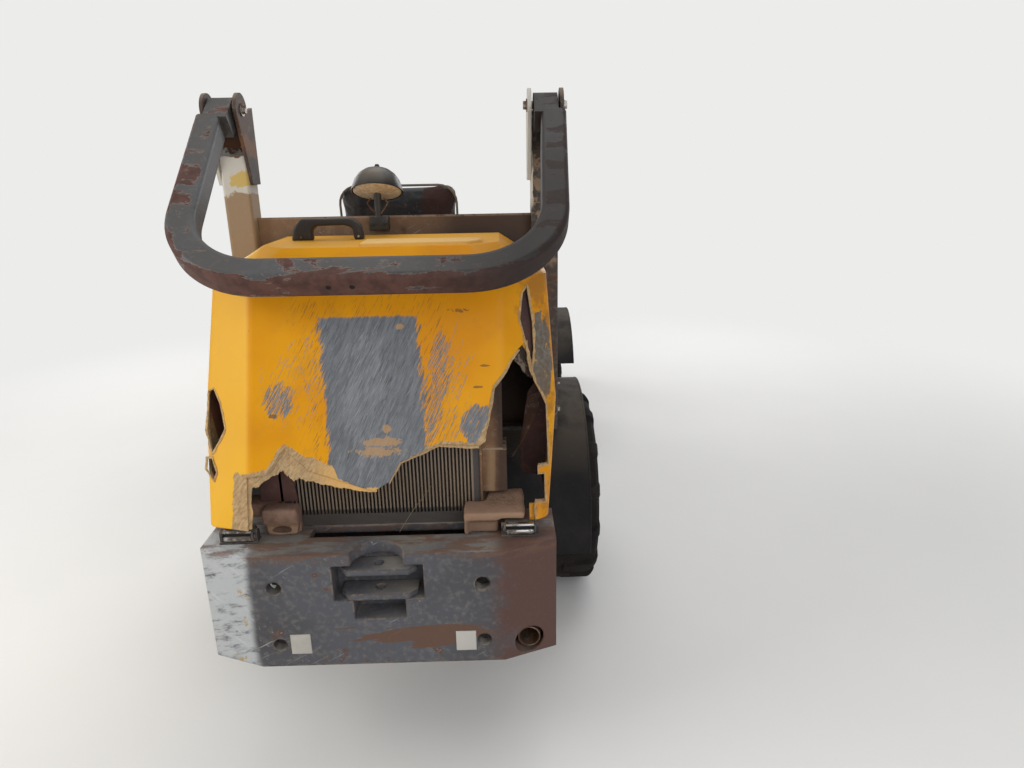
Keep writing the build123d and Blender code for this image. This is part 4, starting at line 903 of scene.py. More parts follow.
def tornStrip(points, sideways):
    # a ragged strip of broken fibre, two rows of it, hung from the moulding's rim
    shape = bmesh.new()
    bmesh.ops.create_grid(shape, x_segments=(len(points) - 1) * 10, y_segments=3, size=1.0)
    shape.verts.ensure_lookup_table()
    for vert in shape.verts:
        run = (vert.co.x + 1) / 2 * (len(points) - 1)
        index = min(int(run), len(points) - 2)
        x, z, reach = Vector(points[index]).lerp(Vector(points[index + 1]), run - index)
        down = (1 - vert.co.y) / 2
        jag = 0.92 + 0.05 * math.sin(run * 6.0 + 1.0) + 0.03 * math.sin(run * 17.0) + 0.03 * dice.random()
        drop = down * reach * jag
        tucked = 0.006 if down < 0.1 else 0.0
        if sideways:
            x += drop - tucked
        else:
            z += tucked - drop
        depth = hoodStation(x, z) + 0.0035 + 0.002 * down + 0.0012 * dice.random()
        vert.co = Vector((x, station(depth), z))
    bmesh.ops.solidify(shape, geom=shape.faces[:], thickness=0.004)
    return shape


def addRim(shape, outline, closed, outward, wide):
    # a thin lip of broken fibre along a hole, its outer edge uneven
    points = []
    ends = outline[1:] + outline[:1] if closed else outline[1:]
    for start, end in zip(outline, ends):
        start, end = Vector(start), Vector(end)
        steps = max(int((end - start).length / 0.009), 1)
        points += [start.lerp(end, step / steps) for step in range(steps)]
    if not closed:
        points.append(Vector(outline[-1]))
    last = len(points) - 1
    pairs = []
    for index, point in enumerate(points):
        before = points[index - 1] if closed or index else point
        after = points[(index + 1) % len(points)] if closed or index < last else point
        along = (after - before).normalized()
        away = Vector((along.y, -along.x)) * outward
        spots = (point - away * 0.001, point + away * wide * dice.uniform(0.45, 1.25))
        pairs.append([shape.verts.new((spot.x, station(hoodStation(spot.x, spot.y) - 0.0011), spot.y))
                      for spot in spots])
    for first, second in zip(pairs, pairs[1:] + pairs[:1] if closed else pairs[1:]):
        shape.faces.new((first[0], second[0], second[1], first[1]))


def addSheet(name, outline, depthAt, cuts, move, look, sharp):
    # a thin plate with an outline of the rear view, dented a little
    shape = bmesh.new()
    shape.faces.new([shape.verts.new((x, station(depthAt(x, z)), z)) for x, z in outline])
    bmesh.ops.triangulate(shape, faces=shape.faces[:])
    bmesh.ops.subdivide_edges(shape, edges=shape.edges[:], cuts=cuts, use_grid_fill=True)
    for vert in shape.verts:
        vert.co += move(vert.co)
    bmesh.ops.solidify(shape, geom=shape.faces[:], thickness=0.003)
    addPiece(name, shape, look, "hood_body", sharp)


def makeHoodDetails():
    for name, sideways, points in hood["torn"]:
        addPiece(name, tornStrip(points, sideways), "fibre", "hood_body", 60)
    shape = bmesh.new()
    for outline in hood["holes"]:
        turning = sum(a[0] * b[1] - b[0] * a[1] for a, b in zip(outline, outline[1:] + outline[:1]))
        addRim(shape, outline, True, math.copysign(1, turning), 0.0048)
    addRim(shape, hood["tearRight"], False, -1, 0.0042)
    bmesh.ops.recalc_face_normals(shape, faces=shape.faces)
    bmesh.ops.solidify(shape, geom=shape.faces[:], thickness=0.0022)
    addPiece("tornRims", shape, "rimFibre", "hood_body", 60)
    # what shows through the slit, and the inner panel behind the right tear
    for name, depthAt in (("slitBacking", lambda x, z: hoodStation(x, z) + 0.016),
                          ("innerPanel", lambda x, z: 0.268 + 0.35 * (0.43 - x))):
        addSheet(name, hood[name], depthAt, 2,
                 lambda spot: Vector((0, 0.002 * math.sin(spot.z * 60) + dice.uniform(-0.0006, 0.0006), 0)),
                 "innerBrown", 50)
    # the raised band pressed into the top
    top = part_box("hood")[1].z
    shape = bmesh.new()
    low, high = [[shape.verts.new((x, station(place), z)) for x, place in hood["band"]]
                 for z in (top - 0.003, top + 0.009)]
    addPrism(shape, high, low)
    rims = [edge for edge in shape.edges if edge.verts[0] in high and edge.verts[1] in high]
    rounded(shape, rims, 0.006, 3)
    addPiece("hoodTopBand", shape, "palePaint", "hood_body")
    print("hood details made")


# The handle is a bent strap with a screw at each foot

handle = {"width": 0.032, "thick": 0.019, "round": 0.006}


def makeHandle():
    low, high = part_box("hood_handle")
    y = (low.y + high.y) / 2
    half = handle["width"] / 2
    foot, belly = low.z - 0.001, high.z - handle["thick"]
    inner = [(low.x + 0.058, foot), (low.x + 0.056, high.z - 0.034), (low.x + 0.07, belly - 0.001),
             (high.x - 0.05, belly), (high.x - 0.03, high.z - 0.026), (high.x - 0.026, foot)]
    outer = [(low.x, foot), (low.x + 0.008, high.z - 0.024), (low.x + 0.03, high.z - 0.001),
             (high.x - 0.03, high.z - 0.001), (high.x - 0.007, high.z - 0.018), (high.x, foot)]
    shape = bmesh.new()
    (outA, inA), (outB, inB) = [[[shape.verts.new((x, depth, z)) for x, z in line] for line in (outer, inner)]
                                for depth in (y - half, y + half)]
    for i in range(5):
        for quad in ((outA[i], outA[i + 1], inA[i + 1], inA[i]), (outB[i + 1], outB[i], inB[i], inB[i + 1]),
                     (outA[i + 1], outA[i], outB[i], outB[i + 1]), (inA[i], inA[i + 1], inB[i + 1], inB[i])):
            shape.faces.new(quad)
    for i in (0, 5):
        shape.faces.new((outA[i], inA[i], inB[i], outB[i]))
    rounded(shape, shape.edges[:], handle["round"], 3)
    addPiece("hoodHandle", shape, "handle_plastic", "hood_body", 50, stands="hood_handle")
    shape = bmesh.new()
    for x in (low.x + 0.028, high.x - 0.013):
        addBolt(shape, (x, y - half, low.z + (high.z - low.z) * 0.16), (0, -1, 0), 0.006, False)
    addPiece("handleScrews", shape, "boltZinc", "hood_body")


hinge = {"middle": 0.34, "half": 0.0345, "cap": 0.0365, "tall": 0.025}


def makeHingeDetails():
    # each box: a plated roll along its foot, a slot over it shown as a block in painted shade, a thin pale
    # rim and dark end caps
    low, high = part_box("hinge_covers")
    slots, plated, caps = bmesh.new(), bmesh.new(), bmesh.new()
    foot, rear, top = low.z, low.y, low.z + hinge["tall"]
    for side in sides:
        x = side * hinge["middle"]
        left, right = x - hinge["half"], x + hinge["half"]
        addBlock(slots, (left, rear - 0.0008, foot + 0.0125), (right, rear + 0.004, top - 0.0045), 0.001)
        addBlock(plated, (left, rear - 0.004, foot - 0.0004), (right, rear + 0.01, foot + 0.0122), 0.0045, 4)
        addBlock(plated, (left, rear - 0.003, top - 0.0046), (right, rear + 0.012, top + 0.0014), 0.0022, 3)
        for end in sides:
            edge = x + end * hinge["cap"]
            addBlock(caps, (edge - 0.0024, rear - 0.0045, foot + 0.001),
                     (edge + 0.0024, high.y - 0.002, top - 0.002), 0.0015)
            hub, across = Vector((edge, rear + 0.012, foot + 0.009)), Vector((0.0045, 0, 0))
            addRod(caps, hub - across, hub + across, 0.0075, 16, bevel=0.0015)
    addPiece("hingeSlots", slots, "paintedHollowShade", "hood_body")
    addPiece("hingeRolls", plated, "hinge_chrome", "hood_body")
    addPiece("hingeCaps", caps, "hinge_steel", "hood_body")


makeHoodDetails()
makeHandle()
makeHingeDetails()

# Counterweight: rounded casting edges and two blank pale squares

weight = {
    "round": 0.01, "plate": (0.0245, 0.0275), "plates": [(-0.198, 0.391), (0.203, 0.388)],
    "plateThick": 0.0012,
}


def makeWeightDetails():
    shape = copyOfNode("counterweight")
    bmesh.ops.dissolve_limit(shape, angle_limit=math.radians(0.5), verts=shape.verts, edges=shape.edges)
    piece = addPiece("counterweightCasting", shape, "weight_paint", sharp=30,
                     fixNormals=False, stands="counterweight")
    addModifier(piece, "castEdges", "BEVEL", width=weight["round"], segments=3, limit_method="ANGLE",
                angle_limit=math.radians(28), use_clamp_overlap=True)
    shape = bmesh.new()
    half, tall = weight["plate"]
    for x, z in weight["plates"]:
        addBlock(shape, (x - half, rearY - weight["plateThick"], z - tall),
                 (x + half, rearY + 0.001, z + tall), 0.0006)
    addPiece("blankSquares", shape, "blankPlate")
    print("counterweight details made")


makeWeightDetails()

# Wheels: a carcass spun from its section, bar lugs with rounded roots, wheel nuts and rim edges

tyre = {
    "profile": [(0.1905, -0.078), (0.198, -0.088), (0.222, -0.098), (0.25, -0.1048), (0.282, -0.1055),
                (0.304, -0.102), (0.318, -0.093), (0.3255, -0.076), (0.329, -0.04), (0.33, 0.0)],
    "bars": 28, "phase": math.atan2(0.0322, 0.3435), "lean": 0.2, "leanFrom": 0.047,
    # radius of a bar's root on the tread, past the shoulder, and how it falls along the flank
    "root": 0.325, "shoulder": 0.07, "lowest": 0.2985, "flank": 0.09, "fall": 1.6,
    # distance towards the bar's own side, radius of its top, half its width there and at its root
    "stations": [(-0.014, 0.3425, 0.0165, 0.0215), (-0.01, 0.3435, 0.0195, 0.0245),
                 (0.03, 0.3436, 0.0196, 0.025), (0.076, 0.3428, 0.02, 0.0265), (0.085, 0.3405, 0.02, 0.0275),
                 (0.095, 0.332, 0.02, 0.0285), (0.1035, 0.3195, 0.0195, 0.0285),
                 (0.106, 0.313, 0.018, 0.0275)],
    # moulded rings on the flanks: radius, how far they stand out, half the tyre's width there
    "rings": [(0.212, 0.0022, 0.0962), (0.288, 0.0012, 0.1046)],
}
wheelNuts = {"count": 6, "face": 0.0783, "circle": 0.062, "width": 0.013}
rimEdge = [(0.186, 0.086), (0.194, 0.09), (0.1955, 0.0965), (0.19, 0.0975), (0.181, 0.0935), (0.18, 0.086)]


def onCircle(radius, angle):
    return radius * math.cos(angle), radius * math.sin(angle)


def makeTyre(corner, centre, side):
    shape = bmesh.new()
    half = tyre["profile"]
    full = half + [(radius, -height) for radius, height in reversed(half[:-1])]
    addSpun(shape, full + [(0.1905, 0.0)], centre, (1, 0, 0), 84, closed=True)
    bars = bmesh.new()
    for index in range(tyre["bars"]):
        row = side if index % 2 else -side
        turn = -side * (index * 2 * math.pi / tyre["bars"] + tyre["phase"])
        out = Vector((0, *onCircle(1, turn)))
        across = Vector((0, -out.z, out.y))
        rings = []
        for reach, top, topHalf, rootHalf in tyre["stations"]:
            middle = -side * tyre["lean"] * (reach - tyre["leanFrom"])
            root = tyre["lowest"] if reach > tyre["shoulder"] else tyre["root"]
            root -= max(reach - tyre["flank"], 0) * tyre["fall"]
            section = ((rootHalf, root), (topHalf + 0.0015, top - 0.006), (topHalf - 0.0025, top - 0.0006))
            spots = [(-place, height) for place, height in section] + list(section[::-1])
            foot = centre + Vector((row * reach, 0, 0))
            rings.append([bars.verts.new(foot + across * (middle + place) + out * height)
                          for place, height in spots])
        for first, second in zip(rings, rings[1:]):
            for quad in zip(first, first[1:] + first[:1], second[1:] + second[:1], second):
                bars.faces.new(quad)
        bars.faces.new(rings[0])
        bars.faces.new(rings[-1])
    bmesh.ops.recalc_face_normals(bars, faces=bars.faces)
    merged = bpy.data.meshes.new("bars")
    bars.to_mesh(merged)
    bars.free()
    shape.from_mesh(merged)
    bpy.data.meshes.remove(merged)
    for radius, rise, width in tyre["rings"]:
        for flank in sides:
            foot, top = flank * (width - 0.004), flank * (width + rise)
            section = [(radius - 0.006, foot), (radius - 0.002, top), (radius + 0.002, top),
                       (radius + 0.006, foot)]
            addSpun(shape, section, centre, (1, 0, 0), 84, closed=True)
    addPiece("tread_" + corner, shape, "tyre_rubber", "wheel_" + corner, 32,
             stands="tyre_" + corner)


def makeWheels():
    for corner in corners:
        side, centre, body = sideOf(corner), middleOf("tyre_" + corner), "wheel_" + corner
        makeTyre(corner, centre, side)
        shape = bmesh.new()
        for index in range(wheelNuts["count"]):
            spot = onCircle(wheelNuts["circle"], math.radians(60 * index + 30))
            addBolt(shape, centre + Vector((side * wheelNuts["face"], *spot)), (side, 0, 0),
                    wheelNuts["width"])
        addPiece("wheelNuts_" + corner, shape, "boltZinc", body)
        shape = bmesh.new()
        addSpun(shape, [(radius, side * height) for radius, height in rimEdge], centre, (1, 0, 0), 64,
                closed=True)
        addPiece("rimEdge_" + corner, shape, "rim_paint", body, 40)
    print("wheels made")


makeWheels()

# Lamp: a spun shell with a rolled rim and a knob, its lens, stem, foot and wires

lamp = {
    "shell": [(0.0, 0.066), (0.02, 0.0648), (0.039, 0.058), (0.054, 0.046), (0.065, 0.03), (0.0715, 0.011),
              (0.0745, 0.0), (0.0748, -0.003), (0.0725, -0.004), (0.07, -0.001), (0.066, 0.01), (0.0, 0.012)],
    "lens": [(0.0, -0.0075), (0.025, -0.007), (0.05, -0.0055), (0.068, -0.0025), (0.0705, 0.002),
             (0.0, 0.004)],
    # side, station and height over the bulkhead of the wires
    "wires": [(0.004, 0.66, 0.004), (0.02, 0.655, 0.022), (0.03, 0.652, 0.038), (0.018, 0.656, 0.052)],
    # the knob on its back: from and to along the axis, radius at both ends
    "knob": [(0.061, 0.071, 0.013, 0.01), (0.071, 0.079, 0.0085, 0.006)],
    "stemX": -0.043, "stemRadius": 0.0105, "lean": math.radians(22),
}


def makeLamp():
    centre = middleOf("lamp_lens")
    axis = Vector((0, math.sin(lamp["lean"]), math.cos(lamp["lean"])))
    front = centre + axis * 0.004
    shape = bmesh.new()
    addSpun(shape, lamp["shell"], front, axis)
    for start, end, radius, endRadius in lamp["knob"]:
        addRod(shape, front + axis * start, front + axis * end, radius, 20, endRadius, 0.0015)
    # stem and foot, as the CAD has them
    x, y = lamp["stemX"], station(0.664)
    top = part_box("bulkhead")[1].z
    addRod(shape, (x, y, top - 0.004), (x, y, centre.z + 0.004), lamp["stemRadius"], 16)
    addBlock(shape, (x - 0.028, y - 0.011, top - 0.04), (x + 0.028, station(0.682), top - 0.001), 0.002)
    for side in sides:
        addBolt(shape, (x + side * 0.019, y - 0.011, top - 0.02), (0, -1, 0), 0.009)
    addPiece("lampShell", shape, "lamp_plastic", sharp=40, stands="work_lamp")
    shape = bmesh.new()
    addSpun(shape, lamp["lens"], front, axis)
    addPiece("lampGlass", shape, "lamp_glass", sharp=40, stands="lamp_lens")
    shape = bmesh.new()
    for side in sides:
        addTube(shape, [(x + side * across, station(back), top + up) for across, back, up in lamp["wires"]],
                0.0022, 8)
    addPiece("lampWires", shape, "exhaust_steel")
    print("lamp made")


makeLamp()

# Pads: torn foam blocks on the counterweight's top, soft and sagging

pads = {
    "voxel": 0.005, "rounding": 7, "ripple": 0.00048, "faceDepth": 0.11,
    "hollow": (-0.243, 0.648), "hollowHalf": (0.026, 0.011), "hollowDepth": 0.012,
    # how far a foot draws in, the height that it starts at and the reach below it
    "nose": (0.01, 0.672, 0.012), "noseAcross": (0.16, 0.668, 0.03), "shelf": (0.013, 0.672, 0.01),
    "shelfFrom": 0.216,
}


def remeshed(piece, voxel):
    modifier = addModifier(piece, "evenMesh", "REMESH", mode="VOXEL", voxel_size=voxel)
    shown = piece.evaluated_get(bpy.context.evaluated_depsgraph_get())
    data = bpy.data.meshes.new_from_object(shown)
    piece.modifiers.remove(modifier)
    data.name = piece.name
    piece.data = data
    data.polygons.foreach_set("use_smooth", [True] * len(data.polygons))


def drawnIn(kind, z):
    amount, height, reach = pads[kind]
    return amount * max(0.0, min((height - z) / reach, 1.0))


def soften(piece, node):
    addModifier(piece, "softened", "SUBSURF", levels=1, render_levels=1)
    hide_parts(node)


def makePads():
    piece = addPiece("hoodPads", copyOfNode("hood_pads"), "pad_foam", sharp=60, fixNormals=False)
    remeshed(piece, pads["voxel"])
    shape = bmesh.new()
    shape.from_mesh(piece.data)
    for _ in range(pads["rounding"]):
        bmesh.ops.smooth_vert(shape, verts=shape.verts, factor=0.5, use_axis_x=True, use_axis_y=True,
                              use_axis_z=True)
    hollowX, hollowZ = pads["hollow"]
    halfX, halfZ = pads["hollowHalf"]
    for vert in shape.verts:
        x, y, z = vert.co
        wave = math.sin(x * 95) + math.sin(y * 120 + 1.3) + math.sin(z * 150)
        vert.co += vert.normal * wave * pads["ripple"]
        if y > station(pads["faceDepth"]):
            continue
        if x < 0:
            # the left pad's nose draws in under the slab, with a hollow in its face
            inHollow = max(0.0, 1 - ((x - hollowX) / halfX) ** 2 - ((z - hollowZ) / halfZ) ** 2)
            vert.co.y += drawnIn("nose", z) + pads["hollowDepth"] * inHollow
            vert.co.x += (hollowX - x) * drawnIn("noseAcross", z)
        elif x > pads["shelfFrom"]:
            # the right shelf has a rolled lip, and its foot stands back under it
            vert.co.y += drawnIn("shelf", z)
    shape.to_mesh(piece.data)
    shape.free()
    soften(piece, "hood_pads")


makePads()

# A torn scrap of wire mesh and a hanging flap of fibre behind the right tear, and litter

meshScrap = {"top": (0.384, 0.232, 0.94), "bottom": (0.335, 0.235, 0.77), "wide": 0.02, "wire": 0.0011}


def makeMeshScrap():
    shape = bmesh.new()
    bmesh.ops.create_grid(shape, x_segments=9, y_segments=34, size=1.0)
    for vert in shape.verts:
        down, across = (1 - vert.co.y) / 2, vert.co.x
        middle = Vector(meshScrap["top"]).lerp(Vector(meshScrap["bottom"]), down)
        reach = meshScrap["wide"] * (0.55 + 0.3 * math.sin(5.0 * down + 0.6))
        bend = 0.014 * math.sin(6.5 * down) + 0.008 * across * across
        vert.co = Vector((middle.x + across * reach + 0.01 * math.sin(4 * down), station(middle.y + bend),
                          middle.z + 0.006 * across))
    piece = addPiece("meshScrap", shape, "exhaust_steel", "hood_body", fixNormals=False)
    addModifier(piece, "wires", "WIREFRAME", thickness=meshScrap["wire"], use_replace=True)


litter = {
    "box": [(-0.306, 0.702), (-0.296, 0.756), (-0.276, 0.786), (-0.222, 0.789), (-0.213, 0.702)],
    "stalk": [(0.043, 0.1, 0.6335), (0.06, 0.098, 0.662), (0.084, 0.101, 0.698), (0.108, 0.108, 0.726),
              (0.126, 0.118, 0.748)],
    "leaves": 46, "across": (0.262, 0.338), "along": (0.1, 0.165), "length": (0.003, 0.008),
}


def makeLitter():
    # a dark sheet-metal box behind the left pad
    shape = bmesh.new()
    near, far = [[shape.verts.new((x + shift, station(depth), z)) for x, z in litter["box"]]
                 for shift, depth in ((0, 0.142), (0.004, 0.147))]
    addPrism(shape, near, far)
    rounded(shape, shape.edges[:], 0.0015)
    addPiece("padBacking", shape, "innerBrown")
    # a dry stalk caught on the counterweight, and leaf litter on the right shelf
    shape = bmesh.new()
    addTube(shape, [(x, station(depth), z) for x, depth, z in litter["stalk"]], 0.0007, 6)
    for _ in range(litter["leaves"]):
        x = dice.uniform(*litter["across"])
        spot = Vector((x, station(dice.uniform(*litter["along"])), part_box("hood_pads")[1].z - 0.0035))
        length = dice.uniform(*litter["length"])
        turn = Matrix.Rotation(dice.uniform(0, 6.28), 4, "Z")
        turn = turn @ Matrix.Rotation(dice.uniform(-0.5, 0.5), 4, "X")
        made = addBlock(shape, (-length / 2, -length * 0.225, -0.0006), (length / 2, length * 0.225, 0.0006))
        bmesh.ops.transform(shape, matrix=Matrix.Translation(spot) @ turn, verts=made)
    addPiece("litter", shape, "straw")


makeMeshScrap()
addSheet("hangingFlap", hood["flap"], lambda x, z: hoodStation(x, z) + 0.012 + 0.1 * (1.07 - z), 3,
         lambda spot: Vector([dice.uniform(-1, 1) for _ in range(3)]) * 0.0012, "burntFibre", 60)
makeLitter()

# Bar pins, and two small holes in the rear of the folded bar, shown as discs in painted shade

bar = {"pinFaces": [(0.4905, 1), (0.3915, -1)], "reach": 0.674, "lean": math.radians(36.9),
       "holes": (-0.072, -0.02)}


def makeBarDetails():
    pin = jointPlace["roll_bar_fold"]
    shape = bmesh.new()
    for side in sides:
        for face, way in bar["pinFaces"]:
            addBolt(shape, (side * face, pin.y, pin.z), (side * way, 0, 0), 0.02)
    addPiece("barPinNuts", shape, "boltZinc")
    shape = bmesh.new()
    outward = Vector((0, -math.cos(bar["lean"]), -math.sin(bar["lean"])))
    # each hole is a thin disc of painted shade on the bar
    for x in bar["holes"]:
        spot = pin + outward * bar["reach"] + Vector((x, 0, 0))
        addRod(shape, spot - outward * 0.001, spot + outward * 0.0006, 0.0062, 16)
    addPiece("barHoles", shape, "paintedHollowShade", "roll_bar_body")
    print("roll bar details made")


makeBarDetails()

# Seat: padded back and cushion, blown up a little by cloth, then seamed, and the piping of the back

seat = {
    "shrink": 0.01, "voxel": 0.006, "pressure": 4.0, "cap": 0.014, "frames": 20,
    "thick": 0.086, "foot": 0.106, "lean": 0.82, "backRound": 0.034, "cushionRound": 0.036,
    "seamWidth": 0.006, "seamDepth": 0.005, "backSeams": (-0.115, 0.115), "cushionSeams": (-0.12, 0.12),
    "pipingInset": 0.016, "pipingCorner": 0.055, "pipingFoot": 0.15, "pipingDepth": 0.0135,
    "pipingRadius": 0.0036,
}


def inflate(piece):
    rest = [vert.co.copy() for vert in piece.data.vertices]
    cloth = piece.modifiers.new("puff", "CLOTH")
    cloth.settings.use_pressure = True
    cloth.settings.uniform_pressure_force = seat["pressure"]
    cloth.settings.effector_weights.gravity = 0
    cloth.settings.quality = 4
    cloth.point_cache.frame_start = 1
    cloth.point_cache.frame_end = seat["frames"]
    scene = bpy.context.scene
    for step in range(1, seat["frames"] + 1):
        scene.frame_set(step)
    shown = piece.evaluated_get(bpy.context.evaluated_depsgraph_get())
    moved = [vert.co.copy() for vert in shown.data.vertices]
    piece.modifiers.remove(cloth)
    scene.frame_set(1)
    for vert, start, end in zip(piece.data.vertices, rest, moved):
        push = end - start
        vert.co = start + push * min(1.0, seat["cap"] / max(push.length, 1e-9))
    piece.data.update()


def makeCushion(name, low, high, shear, roundness, seams, front):
    # sewn channels: the surface sinks along each seam, on the side where the sitter leans
    shape = bmesh.new()
    for vert in addBlock(shape, low, high, roundness, 4):
        vert.co.y += shear * (high[2] - vert.co.z) / (high[2] - low[2])
    piece = addPiece(name, shape, "seat_vinyl", sharp=80)
    remeshed(piece, seat["voxel"])
    inflate(piece)
    for vert in piece.data.vertices:
        sink = sum(math.exp(-((vert.co.x - x) / seat["seamWidth"]) ** 2) for x in seams)
        vert.co += Vector(front) * (-seat["seamDepth"] * min(sink, 1.0))
    piece.data.update()
    return piece


def makePiping(low, high, lean):
    # pale piping round the rear of the seat's back
    inset, corner, foot = seat["pipingInset"], seat["pipingCorner"], low.z + seat["pipingFoot"]
    points = [(high.x - inset, foot)]
    for x, first in ((high.x - inset - corner, 0), (low.x + inset + corner, 90)):
        for step in range(7):
            across, up = onCircle(corner, math.radians(first + 15 * step))
            points.append((x + across, high.z - inset - corner + up))
    points.append((low.x + inset, foot))
    shape = bmesh.new()
    tall = high.z - low.z - seat["foot"]
    addTube(shape, [(x, low.y + seat["pipingDepth"] + lean * (high.z - z) / tall, z) for x, z in points],
            seat["pipingRadius"], 10)
    addPiece("seatPiping", shape, "piping")


def makeSeat():
    low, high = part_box("seat_back")
    shrink = seat["shrink"]
    lean = (high.y - low.y - seat["thick"]) * seat["lean"]
    back = makeCushion("seatBack", (low.x + shrink, low.y + shrink, low.z + seat["foot"] + shrink),
                       (high.x - shrink, low.y + seat["thick"] - shrink, high.z - shrink), lean,
                       seat["backRound"], seat["backSeams"], (0, 1, 0))
    soften(back, "seat_back")
    makePiping(low, high, lean)
    low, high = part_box("seat_cushion")
    cushion = makeCushion("seatCushion", (low.x + shrink, low.y + shrink, low.z + 0.004),
                          (high.x - shrink, high.y - shrink, high.z - shrink), 0.0,
                          seat["cushionRound"], seat["cushionSeams"], (0, 0, 1))
    for vert in cushion.data.vertices:
        vert.co.z = max(vert.co.z, low.z + 0.0006)
    soften(cushion, "seat_cushion")
    print("seat made")


makeSeat()

# Bucket, pins and cylinders

bucketLook = {
    "floorTop": 0.022, "lip": (0.064, 0.124), "wearTop": 0.0285, "bolts": 8, "bead": 0.0034,
    "beadStep": 0.014, "plateBoltsX": (-0.32, -0.09, 0.09, 0.32), "plateBoltsZ": (0.25, 0.455),
    "plateFace": 0.0138,
}


def makeBucketDetails():
    low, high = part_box("bucket")
    back, front, floorTop = low.y, high.y, bucketLook["floorTop"]
    # weld beads where the side plates meet the sheet, on the inside
    shape = bmesh.new()
    line = [(front - 0.062, floorTop), (back + 0.156, 0.0225), (back + 0.037, 0.0845), (back + 0.011, 0.1765),
            (back + 0.011, high.z - 0.012)]
    path = []
    for start, end in zip(line, line[1:]):
        steps = max(int(math.dist(start, end) / bucketLook["beadStep"]), 2)
        path += [Vector(start).lerp(Vector(end), step / steps) for step in range(steps)]
    for side in sides:
        addTube(shape, [(side * (high.x - 0.0105 - dice.uniform(0, 0.0014)), y + 0.0006, z + 0.0006)
                        for y, z in path],
                bucketLook["bead"], 8)
    addTube(shape, [(x / 40, back + 0.0105, high.z - 0.0105 - dice.uniform(0, 0.001))
                    for x in range(-27, 28)],
            bucketLook["bead"], 8)
    addPiece("bucketWelds", shape, "bucket_paint", "bucket_body", 50)
    # a wear bar along the lip, bolted down
    shape = bmesh.new()
    near, far = front - bucketLook["lip"][1], front - bucketLook["lip"][0]
    addBlock(shape, (low.x + 0.018, near, floorTop - 0.001), (high.x - 0.018, far, bucketLook["wearTop"]),
             0.003)
    addPiece("wearBar", shape, "boltZinc", "bucket_body")
    shape = bmesh.new()
    for index in range(bucketLook["bolts"]):
        x = low.x + 0.085 + index * (high.x - low.x - 0.17) / (bucketLook["bolts"] - 1)
        addBolt(shape, (x, (near + far) / 2, bucketLook["wearTop"] - 0.0001), (0, 0, 1), 0.017)
    for x in bucketLook["plateBoltsX"]:
        for z in bucketLook["plateBoltsZ"]:
            addBolt(shape, (x, back - bucketLook["plateFace"], z), (0, -1, 0), 0.015)
    addPiece("bucketBolts", shape, "boltZinc", "bucket_body")


# joint, from and to across, radius and steps of a pin's disc, how deep its bolt sits and its width
pins = [("boom_lift", 0.2262, 0.2335, 0.031, 32, 0.0002, 0.015),
        ("bucket_tilt", 0.2392, 0.2455, 0.028, 28, 0.0005, 0.014)]
bosses = {"x": 0.2198, "along": (0, 0.52, -0.854), "reach": [("boom_lift", 0.043), ("bucket_tilt", -0.038)]}


def addPin(shape, joint, x, end, radius, steps, sunk, width):
    spot = jointPlace[joint]
    for side in sides:
        addRod(shape, (side * x, spot.y, spot.z), (side * end, spot.y, spot.z), radius, steps, bevel=0.0015)
        addBolt(shape, (side * (end - sunk), spot.y, spot.z), (side, 0, 0), width)


def makePins():
    shape, tips = bmesh.new(), bmesh.new()
    addPin(shape, *pins[0])
    addPin(tips, *pins[1])
    anchor = jointPlace["lift_barrel_swing"]
    for side in sides:
        addBolt(shape, (side * 0.3035, anchor.y, anchor.z), (side, 0, 0), 0.016)
    addPiece("liftPins", shape, "boltZinc", "front_frame")
    addPiece("tipPins", tips, "boltZinc", "bucket_body")
    # grease caps on the boom's bosses
    shape = bmesh.new()
    for side in sides:
        for joint, reach in bosses["reach"]:
            spot = Vector((side * bosses["x"], *jointPlace[joint].yz)) + Vector(bosses["along"]) * reach
            addRod(shape, spot, spot + Vector((side * 0.0055, 0, 0)), 0.0042, 12, 0.003)
    addPiece("greaseCaps", shape, "boltZinc", "boom_body")


# name, joint at its foot, the rod's joint that gives its direction, x, node, body, side of its pipe
rams = [("liftLeft", "lift_barrel_swing", "lift_rod_slide", -0.262, "lift_barrels", "lift_barrel_body", 1),
        ("liftRight", "lift_barrel_swing", "lift_rod_slide", 0.262, "lift_barrels", "lift_barrel_body", 1),
        ("tilt", "tilt_barrel_swing", "tilt_rod_slide", 0.0, "tilt_barrel", "tilt_barrel_body", -1)]
ramLook = {
    "collar": [(0.0335, -0.012), (0.0358, -0.012), (0.0364, -0.01), (0.0364, 0.01), (0.0358, 0.012),
               (0.0335, 0.012)],
    "gland": [(0.019, -0.002), (0.0285, -0.002), (0.0275, 0.004), (0.02, 0.004)],
    "barrel": 0.034, "pipeAway": 0.0465, "pipeRadius": 0.0048,
    # the upper collar and port from the gland's end, the lower ones and the pipe's end from the foot
    "upperCollar": 0.03, "lowerCollar": 0.052, "upperPort": 0.062, "lowerPort": 0.075, "pipeEnd": 0.1,
}


